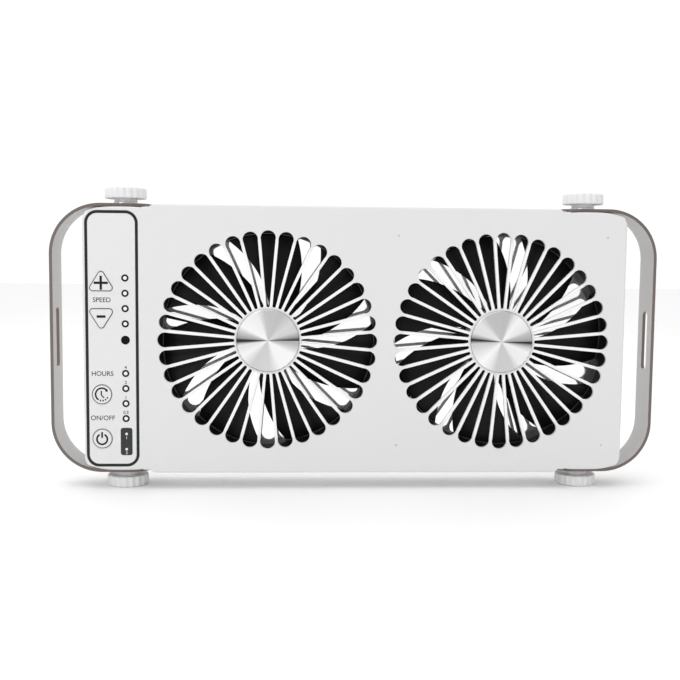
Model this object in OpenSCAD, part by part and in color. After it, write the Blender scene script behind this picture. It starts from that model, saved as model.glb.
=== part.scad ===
// Twin axial fan unit for a roof or wall vent, with two swivelling mounting brackets.
// The front faces -Y, +Z is up, and the unit stands on its two lower knobs at z = 0.
// Sizes are in millimetres. Modules work about the middle of the case and are lifted last.

/* [Case] */
// Thickness of the top, bottom and end walls
wall_t = 2.5; // [2.2:0.1:3]
// Thickness of the front and back faces
face_t = 2.2; // [2:0.1:2.4]
// Radius of the four corners, seen from the front
corner_r = 9; // [7:0.5:9.5]
// Rounding of the front and back edges
edge_r = 1.5; // [0.8:0.1:1.5]
// Distance from the middle plane back to the joint between the two covers
split_y = 6.5; // [6:0.1:7.5]
// Height of the lip that locates the back cover in the front cover
lip_h = 3; // [2:0.5:4]
// Length of the slope where the case steps down under a bracket ear
step_slope = 3; // [2:0.5:4]

/* [Fans] */
// Outer size of a square fan frame, which sets the size of the whole case
frame_w = 150; // [135:0.5:170]
// Depth of a fan frame
frame_d = 26; // [25:0.5:30]
// Distance between the two fan frames
fan_gap = 3.8; // [2:0.1:8]
// Distance from a fan frame to the top and bottom faces of the case
frame_room = 12.5; // [12:0.1:16]
// Distance from the right-hand fan frame to the end of the case
end_room = 7.2; // [7:0.1:14]
// Distance from the control strip to the left-hand fan frame
panel_gap = 8.55; // [8.5:0.05:14]
// Room for the wires between the fan frames and the back face
wire_room = 4.4; // [4.2:0.1:8]
// Gap between a fan frame and the front cover
frame_gap = 1.2; // [0.6:0.1:2]
// Distance from the throat of a fan frame to the frame's sides
throat_inset = 5; // [4.5:0.1:8]
// Thickness of the throat wall
throat_t = 2; // [1.6:0.1:2.4]
// Thickness of the square flanges of a fan frame
flange_t = 3; // [2.5:0.1:4]
// Distance of a fan screw from the frame's edges
frame_hole_inset = 6; // [5.5:0.1:7]
// Radius of a fan screw's shank
fan_screw_r = 1.9; // [1.5:0.1:2]
// Number of struts that carry a motor
strut_count = 3; // [3:1:5]
// Width of a strut
strut_w = 3.4; // [3:0.1:5]
// Angle of the strut that the wires follow, from +X towards +Z
strut_angle = -72; // [-80:1:-60]

/* [Grilles] */
// Number of petal slots round each fan
slot_count = 36; // [30:2:40]
// Distance by which the slots reach past the throat of a fan frame
slot_overhang = 1.5; // [0:0.1:2]
// Width of the ribs between slots
rib_w = 1.8; // [1.4:0.1:2]
// Radius of the round cap in the middle of a grille
cap_r = 20.4; // [18:0.1:21]
// Thickness of the cap
cap_t = 1.6; // [1.2:0.1:2]
// Height of the cap above the face
cap_proud = 1; // [0.6:0.1:1.2]
// Distance from the cap to the slots
cap_margin = 1.4; // [1:0.1:3]

/* [Impellers] */
// Number of blades
blade_count = 7; // [5:1:9]
// Gap between the blade tips and the throat
tip_gap = 1.2; // [0.8:0.1:2]
// Distance by which the hub cup is wider than the cap, on each side
hub_margin = 0.6; // [0:0.1:1]
// Thickness of the hub cup's wall
hub_t = 1.8; // [1.4:0.1:2]
// Gap between the front cover's inner face and the hub cup
hub_gap = 2.6; // [2:0.1:3]
// Greatest thickness of a blade
blade_t = 1.8; // [1.4:0.1:2.4]
// Free angle between two blades near the hub
blade_gap_in = 10; // [8:1:14]
// Free angle between two blades at the tips
blade_gap_out = 13.5; // [10:0.5:18]
// Angle by which a blade's tip runs ahead of its root
blade_sweep = 26; // [10:1:30]
// Share of the hub cup's depth that a blade covers at its root
blade_root_share = 0.9; // [0.7:0.05:0.95]
// Share of the hub cup's depth that a blade covers at its tip
blade_tip_share = 0.6; // [0.4:0.05:0.8]
// Angle of the first blade gap of the left fan
left_phase = -46.6; // [-90:0.1:90]
// Angle of the first blade gap of the right fan
right_phase = -28.3; // [-90:0.1:90]

/* [Motors] */
// Radius of a motor shaft
shaft_r = 1.5; // [1.25:0.05:1.6]
// Outer radius of a ball bearing
bearing_r = 4; // [3.8:0.1:4.5]
// Width of a ball bearing
bearing_w = 4; // [3:0.1:4]
// Wall of the bearing tube
bearing_tube_t = 1.5; // [1.2:0.1:1.8]
// Thickness of the motor base
base_t = 2.6; // [2:0.1:3]
// Thickness of the motor's circuit board
motor_board_t = 1.6; // [1:0.1:1.8]
// Distance from the edge of the motor's circuit board to the outside of the hub cup
motor_board_inset = 3; // [2.5:0.1:5]
// Thickness of the magnet ring
magnet_t = 2.2; // [1.6:0.1:2.4]
// Air gap between magnet ring and stator
air_gap = 0.6; // [0.4:0.1:0.8]
// Distance from the windings to the motor's circuit board, and to the front of the bearing tube
winding_margin = 2.05; // [1.5:0.05:3]
// Number of stator poles
pole_count = 4; // [4:2:6]
// Thickness of the copper windings round a pole
winding_t = 1.8; // [1:0.1:2]

/* [Brackets] */
// Distance from the end of the case to the outer face of a bracket
bracket_reach = 22.5; // [20.5:0.5:27.5]
// Width of the bracket band
band_w = 24; // [20:0.5:26]
// Thickness of the bracket band
band_t = 2; // [1.5:0.1:2.5]
// Outer radius of the bends
bend_r = 33; // [28:0.5:34]
// Distance of the pivots from the ends of the case
pivot_inset = 25; // [24:0.5:26]
// Distance from a pivot to the end of its bracket ear
ear_reach = 17; // [16:0.5:18]
// Gap between a bracket ear and the case
ear_gap = 0.5; // [0.4:0.1:0.8]
// Height of a bracket ear above the middle of the case
ear_proud = 0.6; // [0:0.1:0.8]
// Length of the mounting slot
mount_slot_l = 41; // [30:0.5:50]
// Width of the mounting slot
mount_slot_w = 8.2; // [6:0.1:9]

/* [Knobs] */
// Radius of a knob's grip
knob_r = 13.5; // [12:0.1:14]
// Height of a knob's grip
knob_h = 7; // [6:0.1:9]
// Radius of a knob's collar
collar_r = 7.5; // [6.5:0.1:8]
// Height of a knob's collar
collar_h = 2.4; // [2:0.1:4]
// Number of finger scallops round a knob
scallop_count = 18; // [12:1:20]
// Radius of a scallop
scallop_r = 1.7; // [1.2:0.1:1.8]
// Radius of the threaded stud
stud_r = 2.5; // [2:0.1:3]
// Length of the threaded insert in the case
insert_l = 8; // [6:0.5:8.5]
// Radius of the threaded insert
insert_r = 4; // [3.8:0.1:4.2]
// Wall of the boss round an insert
insert_wall = 1.5; // [1.3:0.1:1.5]
// Thickness of the washer under a knob
washer_t = 0.8; // [0.6:0.1:1]
// Radius of the washer under a knob
washer_r = 8.2; // [7.8:0.1:9]
// Thickness of the sliding washer between ear and case
slip_t = 0.4; // [0.2:0.1:0.4]
// Radius of the sliding washer between ear and case
slip_r = 9; // [8:0.5:10]

/* [Controls] */
// Width of the control strip over its black border
strip_w = 33.7; // [32:0.1:34]
// Distance from the control strip to the top and bottom faces of the case
strip_margin = 4.5; // [4.1:0.1:8]
// Corner radius of the control strip
strip_r = 7.9; // [7:0.1:9]
// Distance of the control strip from the end of the case
strip_inset = 1.75; // [1.7:0.05:2.4]
// Width of the black border
border_w = 1.7; // [1.2:0.1:2]
// Thickness of the control strip
strip_t = 0.8; // [0.6:0.1:1]
// Distance of the key column from the middle of the strip
key_dx = 6.8; // [6.2:0.1:7]
// Distance of the light column from the middle of the strip
lamp_dx = 8.5; // [7.5:0.1:9]
// Width of the plus and minus keys
arrow_w = 14.7; // [12:0.1:15]
// Height of the plus and minus keys
arrow_h = 12.7; // [11:0.1:13.5]
// Height of the middle of the plus key, as a share of the strip's height
plus_share = 0.2277; // [0.21:0.0001:0.25]
// Height of the middle of the minus key, as a share of the strip's height
minus_share = 0.0831; // [0.06:0.0001:0.1]
// Radius of the timer and power keys
round_key_r = 6.3; // [5.5:0.1:6.6]
// Depth of the middle of the timer key, as a share of the strip's height
timer_share = 0.2144; // [0.2:0.0001:0.23]
// Depth of the middle of the power key, as a share of the strip's height
power_share = 0.3892; // [0.37:0.0001:0.4]
// Travel of a key
key_travel = 0.6; // [0.4:0.1:0.8]
// Height of a key above the strip
key_proud = 0.4; // [0.2:0.1:0.8]
// Gap round a key
key_gap = 0.25; // [0.2:0.05:0.3]
// Radius of a light pipe
pipe_r = 1.2; // [1:0.1:1.3]
// Radius of the black ring round a light pipe
bezel_r = 2.3; // [2:0.1:2.6]
// Distance between neighbouring lights, as a share of the strip's height
lamp_pitch_share = 0.05935; // [0.054:0.00005:0.06]
// Height of the top speed light, as a share of the strip's height
speed_lamp_share = 0.2404; // [0.23:0.0001:0.25]
// Depth of the top timer light, as a share of the strip's height
timer_lamp_share = 0.1319; // [0.12:0.0001:0.14]
// Radius of the remote control window
remote_r = 2.8; // [2.4:0.1:3]
// Width of the indicator window
window_w = 7.5; // [6:0.1:7.8]
// Height of the indicator window
window_h = 18; // [14:0.2:19]
// Depth of the middle of the indicator window, as a share of the strip's height
window_share = 0.4012; // [0.39:0.0001:0.405]
// Width of the control circuit board
board_w = 29; // [27:0.5:30]
// Distance from the control circuit board's ends to the strip's ends
board_margin = 10; // [10:0.1:14]
// Thickness of the control circuit board
board_t = 1.6; // [1.2:0.1:1.8]
// Distance from the front cover's inner face to the control circuit board
board_gap = 8.3; // [8:0.1:9]
// Radius of the power socket's barrel
socket_r = 4.2; // [4:0.1:5]
// Radius of the hole for the plug
plug_r = 2.8; // [2.6:0.1:3]
// Height of the power socket's middle above the lower end of the circuit board
socket_up = 13; // [10:0.5:20]

/* [Hidden] */
$fn = 72;

// Clearances
touch_gap = 0.1;      // between flat pieces that slide or turn on each other
fit_gap = 0.05;       // round a shaft or a seated round piece
seat_gap = 0.15;      // round a seated flat piece
swing_gap = 0.4;      // between a swinging bracket and the case's corners
cut = 1;              // how far a cutter runs past what it cuts
side_share = 0.98;    // a slanted side lies this share of a corner's radius out, and so crosses its arc

// Sizes that follow from the fans and the controls
throat_r = frame_w / 2 - throat_inset;
slot_outer_r = throat_r + slot_overhang;
slot_inner_r = cap_r + cap_margin;
fan_spacing = frame_w + fan_gap;
panel_room = strip_inset + strip_w + panel_gap;
fan_offset = (panel_room - end_room) / 2;
case_w = 2 * frame_w + fan_gap + panel_room + end_room;
case_h = frame_w + 2 * frame_room;
case_d = frame_d + 2 * face_t + frame_gap + wire_room;
bracket_span = case_w + 2 * bracket_reach;
strip_h = case_h - 2 * strip_margin;
board_h = strip_h - 2 * board_margin;

// Places along the depth
front_y = -case_d / 2;
back_y = case_d / 2;
inner_front_y = front_y + face_t;
inner_back_y = back_y - face_t;
frame_front_y = inner_front_y + frame_gap;
frame_back_y = frame_front_y + frame_d;

// The case steps down at its ends for a bracket ear and its gap, less what the ear stands proud
step_h = band_t + ear_gap - ear_proud;
half_w = case_w / 2;
half_h = case_h / 2;
ear_half_h = half_h + ear_proud;
end_half_h = half_h - step_h;
end_h = 2 * end_half_h;
pivot_x = half_w - pivot_inset;
step_clearance = 0.5;
step_foot_x = pivot_x - ear_reach - step_clearance;
step_top_x = step_foot_x - step_slope;

// Knobs and the height of the whole unit
washer_z = ear_half_h + touch_gap;
collar_z = washer_z + washer_t + touch_gap;
grip_z = collar_z + collar_h;
knob_end_z = grip_z + knob_h;
mid_z = knob_end_z;

// Fans
fan_x = [fan_offset - fan_spacing / 2, fan_offset + fan_spacing / 2];
frame_hole_d = frame_w / 2 - frame_hole_inset;
screw_head_r = 3.4;
screw_head_h = 2.2;
frame_corner_r = 7;
post_r = 4.8;

// Case screws: four in the corners and two between the fans
case_boss_r = 4;
case_screw_r = 1.5;
case_head_r = 2.6;
case_head_h = 2;
case_head_sink = 5.5;
corner_boss_in = 6;
mid_boss_in = 5.5;
CASE_SCREWS = concat(
    [for (sx = [-1, 1], sz = [-1, 1]) [sx * (half_w - corner_boss_in), sz * (end_half_h - corner_boss_in)]],
    [for (sz = [-1, 1]) [fan_offset, sz * (half_h - mid_boss_in)]]);

// Grille slots: straight ribs, so a slot widens outwards between two rounded ends
slot_half_angle = 180 / slot_count;
petal_sin = sin(slot_half_angle);
petal_cos = cos(slot_half_angle);
petal_out_x = (slot_outer_r + rib_w / 2) / (1 + petal_sin);
petal_out_r = slot_outer_r - petal_out_x;
petal_in_x = (slot_inner_r - rib_w / 2) / (1 - petal_sin);
petal_in_r = petal_in_x - slot_inner_r;

// Motor, from the front to the back of the hub cup
hub_r = cap_r + hub_margin;
hub_front_y = inner_front_y + hub_gap;
base_back_y = frame_back_y - 2;
base_front_y = base_back_y - base_t;
hub_back_y = base_front_y - 2.2;
hub_d = hub_back_y - hub_front_y;
motor_board_r = hub_r - motor_board_inset;
strut_back_y = frame_back_y - 0.6;
motor_board_y = base_front_y - motor_board_t;
tube_r = bearing_r + bearing_tube_t;
tube_front_y = hub_front_y + hub_t + 1.9;
hub_boss_r = 3.6;
shaft_front_y = hub_front_y + 0.6;
shaft_back_y = base_back_y - 1.2;
clip_t = 0.6;
magnet_r = hub_r - hub_t;
stator_r = magnet_r - magnet_t - air_gap;
core_h = motor_board_y - tube_front_y - 2 * (winding_t + winding_margin);
core_y = tube_front_y + winding_t + winding_margin;
shoe_t = 2.4;
arm_w = 4.4;
winding_half_w = arm_w / 2 + winding_t;
winding_end = sqrt(pow(stator_r - shoe_t, 2) - pow(winding_half_w, 2)) - seat_gap;
base_r = hub_r + 0.6;
wire_hole_r = 2;
wire_hole_at = base_r - 5;

// Blades
tip_r = throat_r - tip_gap;
root_r = hub_r - hub_t / 2;

// Brackets
band_in_r = bend_r - band_t;
bend_z = ear_half_h - bend_r;
bend_x = bracket_span / 2 - bend_r;
bend_dx = bend_x - pivot_x;
ear_round_r = band_w / 2;
ear_hole_r = stud_r + 0.08;

// Control strip
strip_x = -half_w + strip_inset + strip_w / 2;
strip_back_y = front_y + strip_t;
key_x = strip_x - key_dx;
lamp_x = strip_x + lamp_dx;
board_front_y = inner_front_y + board_gap;
board_back_y = board_front_y + board_t;
arrow_round = 2.1;
key_flange = 0.9;
key_flange_t = 1.1;
stem_r = 1.6;
switch_w = 6;
switch_h = 2.8;
plunger_r = 1.75;
plunger_h = 0.7;
plunger_y = board_front_y - switch_h - plunger_h;
stem_end_y = plunger_y - key_travel - touch_gap;
flange_y = inner_front_y + key_travel / 3;
window_round = 1.6;
window_t = 1.7;
lamp_led_r = 1.5;
lamp_led_h = 2;
bezel_t = 1.6;
lamp_pitch = lamp_pitch_share * strip_h;
PLUS = [key_x, plus_share * strip_h];
MINUS = [key_x, minus_share * strip_h];
TIMER = [key_x, -timer_share * strip_h];
POWER = [key_x, -power_share * strip_h];
REMOTE = [lamp_x, speed_lamp_share * strip_h - 4 * lamp_pitch - 0.7];
WINDOW = [lamp_x + 0.2, -window_share * strip_h];
LAMPS = concat([for (i = [0:3]) [lamp_x, speed_lamp_share * strip_h - i * lamp_pitch]],
    [for (i = [0:3]) [lamp_x, -timer_lamp_share * strip_h - i * lamp_pitch]]);
WINDOW_LEDS = [for (s = [-1, 1]) [WINDOW[0], WINDOW[1] + s * window_h * 0.28]];
board_x = strip_x + 0.4;
post_in = 4;
BOARD_POSTS = [for (p = [[-1, board_h / 2 - post_in], [1, board_h / 2 - post_in],
    [-1, (TIMER[1] + POWER[1]) / 2]]) [board_x + p[0] * (board_w / 2 - post_in), p[1]]];
board_post_r = 2.8;
board_screw_r = 1.1;

// Parts on the control board
receiver_w = 5.4;
receiver_h = 6.6;
receiver_d = 4.5;
receiver_lens_r = 1.9;
receiver_lens_h = 1.1;
chip_dx = 2;
controller_up = 22;
controller_w = 10;
controller_h = 12;
controller_d = 1.8;
driver_down = 4;
driver_w = 12;
driver_h = 8;
driver_d = 2.2;
coil_dx = 6;
coil_in = 21;
coil_w = 8;
coil_d = 5;
capacitor_down = 24;
capacitor_r = 4;
capacitor_h = 9;

// Rear of the control board and the power socket
connector_w = 8;
connector_d = 6;
connector_h = 7;
CONNECTORS = [[board_x + board_w / 2 - connector_w / 2, -board_h / 2 + 12],
    [board_x + board_w / 2 - connector_w / 2, -board_h / 2 + 24],
    [board_x - 4, -board_h / 2 + 30]];
SOCKET = [strip_x - 2, socket_up - board_h / 2];
socket_l = 11;
socket_body = 9.4;
plug_depth = 9.5;
socket_pin_r = 1;

// Wires
wire_r = 1.2;
wire_y = frame_back_y + wire_r + touch_gap;
wire_z = -frame_w / 2 - 0.4 - wire_r;
wire_step = 2 * wire_r + 0.5;

// Colours
WHITE = [0.92, 0.92, 0.92];
BLACK = [0.06, 0.06, 0.07];
STEEL = [0.72, 0.73, 0.75];
TAUPE = [0.55, 0.51, 0.49];
BRASS = [0.78, 0.62, 0.30];
GREEN = [0.08, 0.32, 0.18];
COPPER = [0.72, 0.40, 0.20];

// General helpers

module lifted() translate([0, 0, mid_z]) children();

// A flat shape drawn in X and Z, made solid from y0 back to y1
module along_y(y0, y1) translate([0, y1, 0]) rotate([90, 0, 0]) linear_extrude(y1 - y0) children();

// A flat shape drawn in Y and Z, made solid from x0 to x1
module along_x(x0, x1) translate([x0, 0, 0]) rotate([90, 0, 90]) linear_extrude(x1 - x0) children();

// A round rod along Y
module rod_y(r, y0, y1) translate([0, y0, 0]) rotate([-90, 0, 0]) cylinder(r = r, h = y1 - y0);

// A profile of radius and depth, turned about the Y axis
module turned_y() rotate([-90, 0, 0]) rotate_extrude() children();

module at_xz(p) translate([p[0], 0, p[1]]) children();

module rounded_rect(w, h, r) {
    square([w - 2 * r, h], center = true);
    square([w, h - 2 * r], center = true);
    for (sx = [-1, 1], sy = [-1, 1]) translate([sx * (w / 2 - r), sy * (h / 2 - r)]) circle(r);
}

// A slot with round ends, its length along the second axis
module slot_2d(l, w) {
    square([w, l - w], center = true);
    for (s = [-1, 1]) translate([0, s * (l - w) / 2]) circle(w / 2);
}

// Case

module edge_half_2d(r) {
    translate([0, -case_d / 2]) square([r - edge_r, case_d]);
    translate([0, -case_d / 2 + edge_r]) square([r, case_d - 2 * edge_r]);
    for (s = [-1, 1]) translate([r - edge_r, s * (case_d / 2 - edge_r)]) circle(edge_r);
}

module case_end() {
    run_x = half_w - corner_r;
    run_z = end_half_h - corner_r;
    along_x(step_top_x - cut, run_x) rounded_rect(case_d, end_h, edge_r);
    translate([run_x, 0, -run_z]) linear_extrude(2 * run_z) edge_half_2d(corner_r);
    for (s = [-1, 1]) translate([run_x, 0, s * run_z]) rotate([90, 0, 0])
        rotate([0, 0, s > 0 ? 0 : -90]) rotate_extrude(angle = 90) edge_half_2d(corner_r);
}

module case_outside() {
    difference() {
        along_x(-step_foot_x, step_foot_x) rounded_rect(case_d, case_h, edge_r);
        for (sx = [0, 1], sz = [0, 1]) mirror([sx, 0, 0]) mirror([0, 0, sz])
            along_y(front_y - cut, back_y + cut)
                polygon([[step_top_x, half_h], [step_foot_x, end_half_h],
                    [step_foot_x + cut, end_half_h], [step_foot_x + cut, half_h + cut],
                    [step_top_x, half_h + cut]]);
    }
    for (sx = [0, 1]) mirror([sx, 0, 0]) case_end();
}

// The room that a bracket's bends need as they swing past the corners of the case
function swing_limit(s) = bend_z + sqrt(pow(band_in_r - swing_gap, 2) - pow(s - bend_dx, 2));

module swing_room() {
    s0 = bend_dx + 2;
    s1 = pivot_inset + edge_r + 6;
    steps = 6;
    for (sx = [0, 1], sz = [0, 1]) mirror([sx, 0, 0]) mirror([0, 0, sz]) translate([pivot_x, 0, 0])
        intersection() {
            rotate_extrude() polygon(concat(
                [for (i = [0:steps]) let (s = s0 + (s1 - s0) * i / steps) [s, swing_limit(s)]],
                [[s1, half_h + cut], [s0, half_h + cut]]));
            translate([-band_w / 2 - cut, front_y - cut, 0])
                cube([band_w / 2 + s1 + 2 * cut, case_d + 2 * cut, half_h + 2 * cut]);
        }
}

// The outline of the case drawn in by an even amount
module outline_2d(inset) {
    square([2 * (step_top_x - inset), case_h - 2 * inset], center = true);
    rounded_rect(case_w - 2 * inset, end_h - 2 * inset, corner_r - inset);
}

module petal_2d() {
    translate([petal_in_x, 0]) circle(petal_in_r);
    translate([petal_out_x, 0]) circle(petal_out_r);
    in_r = side_share * petal_in_r;
    out_r = side_share * petal_out_r;
    polygon([[petal_in_x - in_r * petal_sin, -in_r * petal_cos], [petal_out_x - out_r * petal_sin, -out_r * petal_cos],
        [petal_out_x - out_r * petal_sin, out_r * petal_cos], [petal_in_x - in_r * petal_sin, in_r * petal_cos]]);
}

module petals_2d() {
    for (i = [0:slot_count - 1]) rotate(90 + i * 360 / slot_count) petal_2d();
}

module pivot_places() {
    for (sx = [0, 1], sz = [0, 1]) mirror([sx, 0, 0]) mirror([0, 0, sz]) translate([pivot_x, 0, 0]) children();
}

insert_boss_r = insert_r + insert_wall;
insert_boss_z = end_half_h - insert_l - 1.5;

module pivot_bosses() {
    pivot_places() translate([0, 0, insert_boss_z])
        cylinder(r = insert_boss_r, h = end_half_h - insert_boss_z - wall_t / 2);
}

module pivot_bores() {
    pivot_places() translate([0, 0, end_half_h - insert_l]) cylinder(r = insert_r + fit_gap, h = insert_l + cut);
    pivot_places() translate([0, 0, insert_boss_z - cut])
        cylinder(r = stud_r + 0.3, h = end_half_h - insert_boss_z);
}

module arrow_2d(grow, up) {
    r = arrow_round + grow;
    bx = arrow_w / 2 - arrow_round;
    by = arrow_h / 2 - arrow_round;
    slant = atan2(2 * by, bx);
    side_r = side_share * r;
    nx = side_r * sin(slant);
    ny = side_r * cos(slant);
    rotate(up ? 0 : 180) {
        for (p = [[-bx, -by], [bx, -by], [0, by]]) translate(p) circle(r);
        polygon([[-bx, -by - side_r], [bx, -by - side_r], [bx + nx, -by + ny], [nx, by + ny],
            [-nx, by + ny], [-bx - nx, -by + ny]]);
    }
}

// The openings of the control strip, each grown by its own gap
module key_openings_2d(grow) {
    translate(PLUS) arrow_2d(grow, true);
    translate(MINUS) arrow_2d(grow, false);
    for (p = [TIMER, POWER]) translate(p) circle(round_key_r + grow);
}

module lamp_openings_2d(r_lamp, grow) {
    for (p = LAMPS) translate(p) circle(r_lamp);
    translate(REMOTE) circle(remote_r + grow);
    translate(WINDOW) rounded_rect(window_w + 2 * grow, window_h + 2 * grow, window_round + grow);
}

module front_cover() color(WHITE) lifted() {
    difference() {
        intersection() {
            case_outside();
            translate([-case_w, front_y - cut, -case_h]) cube([2 * case_w, split_y - front_y + cut, 2 * case_h]);
        }
        along_y(inner_front_y, split_y + cut) outline_2d(wall_t);
        along_y(split_y - lip_h - touch_gap, split_y + cut) outline_2d(wall_t / 2);
        swing_room();
        for (x = fan_x) translate([x, 0, 0]) along_y(front_y - cut, inner_front_y + cut) petals_2d();
        for (x = fan_x) translate([x, 0, 0]) rod_y(cap_r + seat_gap, front_y - cut, front_y + cap_t - cap_proud);
        at_xz([strip_x, 0]) along_y(front_y - cut, strip_back_y)
            rounded_rect(strip_w + 2 * seat_gap, strip_h + 2 * seat_gap, strip_r + seat_gap);
        along_y(strip_back_y - cut, inner_front_y + cut) {
            key_openings_2d(key_gap);
            lamp_openings_2d(pipe_r + fit_gap, fit_gap);
        }
        along_y(strip_back_y - cut, front_y + bezel_t) for (p = LAMPS) translate(p) circle(bezel_r + fit_gap);
        // Four small fixing marks round the right-hand grille
        for (sx = [-1, 1], sz = [-1, 1]) at_xz([fan_x[1] + sx * frame_hole_d, sz * frame_hole_d])
            rod_y(0.7, front_y - cut, front_y + 0.5);
        pivot_bores();
    }
    difference() {
        intersection() {
            union() {
                for (p = CASE_SCREWS) at_xz(p) rod_y(case_boss_r, inner_front_y - face_t / 2, split_y);
                pivot_bosses();
            }
            along_y(inner_front_y - face_t / 2, split_y) outline_2d(wall_t / 2);
        }
        for (p = CASE_SCREWS) at_xz(p) rod_y(case_screw_r + fit_gap, inner_front_y + 2, split_y + cut);
        pivot_bores();
    }
    for (p = BOARD_POSTS) at_xz(p) difference() {
        rod_y(board_post_r, inner_front_y - face_t / 4, board_front_y);
        rod_y(board_screw_r + fit_gap, inner_front_y + 2, board_front_y + cut);
    }
}

module rear_cover() color(WHITE) lifted() {
    difference() {
        intersection() {
            case_outside();
            translate([-case_w, split_y, -case_h]) cube([2 * case_w, back_y - split_y + cut, 2 * case_h]);
        }
        along_y(split_y - cut, inner_back_y) outline_2d(wall_t);
        swing_room();
        for (x = fan_x) translate([x, 0, 0]) rod_y(slot_outer_r + 1, inner_back_y - cut, back_y + cut);
        rear_cover_holes();
    }
    difference() {
        union() {
            for (x = fan_x, sx = [-1, 1], sz = [-1, 1]) at_xz([x + sx * frame_hole_d, sz * frame_hole_d])
                rod_y(fan_screw_r + 2.3, frame_back_y, inner_back_y + face_t / 4);
            intersection() {
                for (p = CASE_SCREWS) at_xz(p) rod_y(case_boss_r, split_y, back_y - face_t / 2);
                along_y(split_y - cut, back_y) outline_2d(wall_t / 2);
            }
        }
        rear_cover_holes();
    }
    // The two rear grilles fill their round windows and overlap the face round them
    for (x = fan_x) translate([x, 0, 0]) {
        along_y(inner_back_y, back_y) difference() {
            circle(slot_outer_r + 2);
            petals_2d();
        }
        rod_y(cap_r - 1, back_y - face_t / 2, back_y + cap_proud);
    }
    difference() {
        along_y(split_y - lip_h, split_y + cut) difference() {
            outline_2d(wall_t / 2 + fit_gap);
            outline_2d(wall_t);
        }
        for (p = CASE_SCREWS) at_xz(p) rod_y(case_boss_r + seat_gap, split_y - lip_h - cut, split_y);
        pivot_places() translate([-insert_boss_r - 1, split_y - lip_h - cut, 0])
            cube([2 * insert_boss_r + 2, lip_h + cut, half_h]);
    }
}

// Holes for the fan screws, the case screws and the power socket
module rear_cover_holes() {
    for (x = fan_x, sx = [-1, 1], sz = [-1, 1]) at_xz([x + sx * frame_hole_d, sz * frame_hole_d])
        rod_y(fan_screw_r + fit_gap, frame_back_y - cut, inner_back_y + face_t / 4);
    for (p = CASE_SCREWS) at_xz(p) {
        rod_y(case_screw_r + 0.3, split_y - cut, back_y + cut);
        rod_y(case_head_r + 0.3, back_y - case_head_sink, back_y + cut);
    }
    at_xz(SOCKET) rod_y(socket_r + fit_gap, inner_back_y - cut, back_y + cut);
}

// Controls

module control_strip() color(WHITE) lifted() along_y(front_y, strip_back_y - touch_gap / 2) difference() {
    at_strip_2d(border_w + touch_gap / 2);
    key_openings_2d(key_gap);
    lamp_openings_2d(bezel_r + fit_gap, fit_gap);
}

module at_strip_2d(inset) translate([strip_x, 0])
    rounded_rect(strip_w - 2 * inset, strip_h - 2 * inset, strip_r - inset);

module strip_border() color(BLACK) lifted() along_y(front_y - 0.05, strip_back_y - touch_gap / 2) difference() {
    at_strip_2d(0);
    at_strip_2d(border_w);
}

// A key: its cap through the face, a flange behind the face, and a stem towards its switch
module key_body(p) color(WHITE) lifted() {
    along_y(front_y - key_proud, flange_y) translate(p) children(0);
    along_y(flange_y, flange_y + key_flange_t) translate(p) children(1);
    at_xz(p) rod_y(stem_r, flange_y + key_flange_t - 0.2, stem_end_y);
}

module key_plus() key_body(PLUS) {
    arrow_2d(0, true);
    arrow_2d(key_flange, true);
}

module key_minus() key_body(MINUS) {
    arrow_2d(0, false);
    arrow_2d(key_flange, false);
}

module key_timer() key_body(TIMER) {
    circle(round_key_r);
    circle(round_key_r + key_flange);
}

module key_power() key_body(POWER) {
    circle(round_key_r);
    circle(round_key_r + key_flange);
}

module light_pipes() color([0.95, 0.95, 0.95]) lifted() for (p = LAMPS) at_xz(p)
    rod_y(pipe_r, front_y - 0.05, board_front_y - lamp_led_h - touch_gap);

module lamp_bezels() color(BLACK) lifted() for (p = LAMPS) at_xz(p) along_y(front_y - 0.1, front_y + bezel_t - fit_gap)
    difference() {
        circle(bezel_r);
        circle(pipe_r + fit_gap);
    }

module remote_window() color(BLACK) lifted() at_xz(REMOTE) {
    rod_y(remote_r, front_y - 0.1, inner_front_y);
    rod_y(remote_r + 0.8, inner_front_y, inner_front_y + 0.8);
}

module indicator_window() color(BLACK) lifted() at_xz(WINDOW) {
    along_y(front_y - 0.05, inner_front_y) rounded_rect(window_w, window_h, window_round);
    along_y(inner_front_y, inner_front_y + 0.8) rounded_rect(window_w + 1.2, window_h + 1.2, window_round);
}

module control_board() color(GREEN) lifted() along_y(board_front_y, board_back_y) difference() {
    translate([board_x, 0]) rounded_rect(board_w, board_h, 1.5);
    for (p = BOARD_POSTS) translate(p) circle(board_screw_r + 0.2);
}

module key_switches() color(STEEL) lifted() for (p = [PLUS, MINUS, TIMER, POWER]) at_xz(p) {
    along_y(board_front_y - switch_h, board_front_y) square(switch_w, center = true);
    rod_y(plunger_r, plunger_y, board_front_y - switch_h + 0.2);
}

module indicator_leds() color([0.9, 0.9, 0.8]) lifted() for (p = concat(LAMPS, WINDOW_LEDS)) at_xz(p)
    rod_y(lamp_led_r, board_front_y - lamp_led_h, board_front_y);

module remote_receiver() color(BLACK) lifted() at_xz(REMOTE) {
    along_y(board_front_y - receiver_d, board_front_y) square([receiver_w, receiver_h], center = true);
    rod_y(receiver_lens_r, board_front_y - receiver_d - receiver_lens_h, board_front_y - receiver_d + 0.1);
}

// A block on the back of the control board, placed from the board's middle
module chip(dx, dz, w, h, d) at_xz([board_x + dx, dz]) along_y(board_back_y, board_back_y + d)
    square([w, h], center = true);

module board_chips() color(BLACK) lifted() {
    chip(chip_dx, controller_up, controller_w, controller_h, controller_d);
    chip(chip_dx, -driver_down, driver_w, driver_h, driver_d);
    chip(-coil_dx, board_h / 2 - coil_in, coil_w, coil_w, coil_d);
    at_xz([board_x + 2 * chip_dx, -capacitor_down]) rod_y(capacitor_r, board_back_y, board_back_y + capacitor_h);
}

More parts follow.
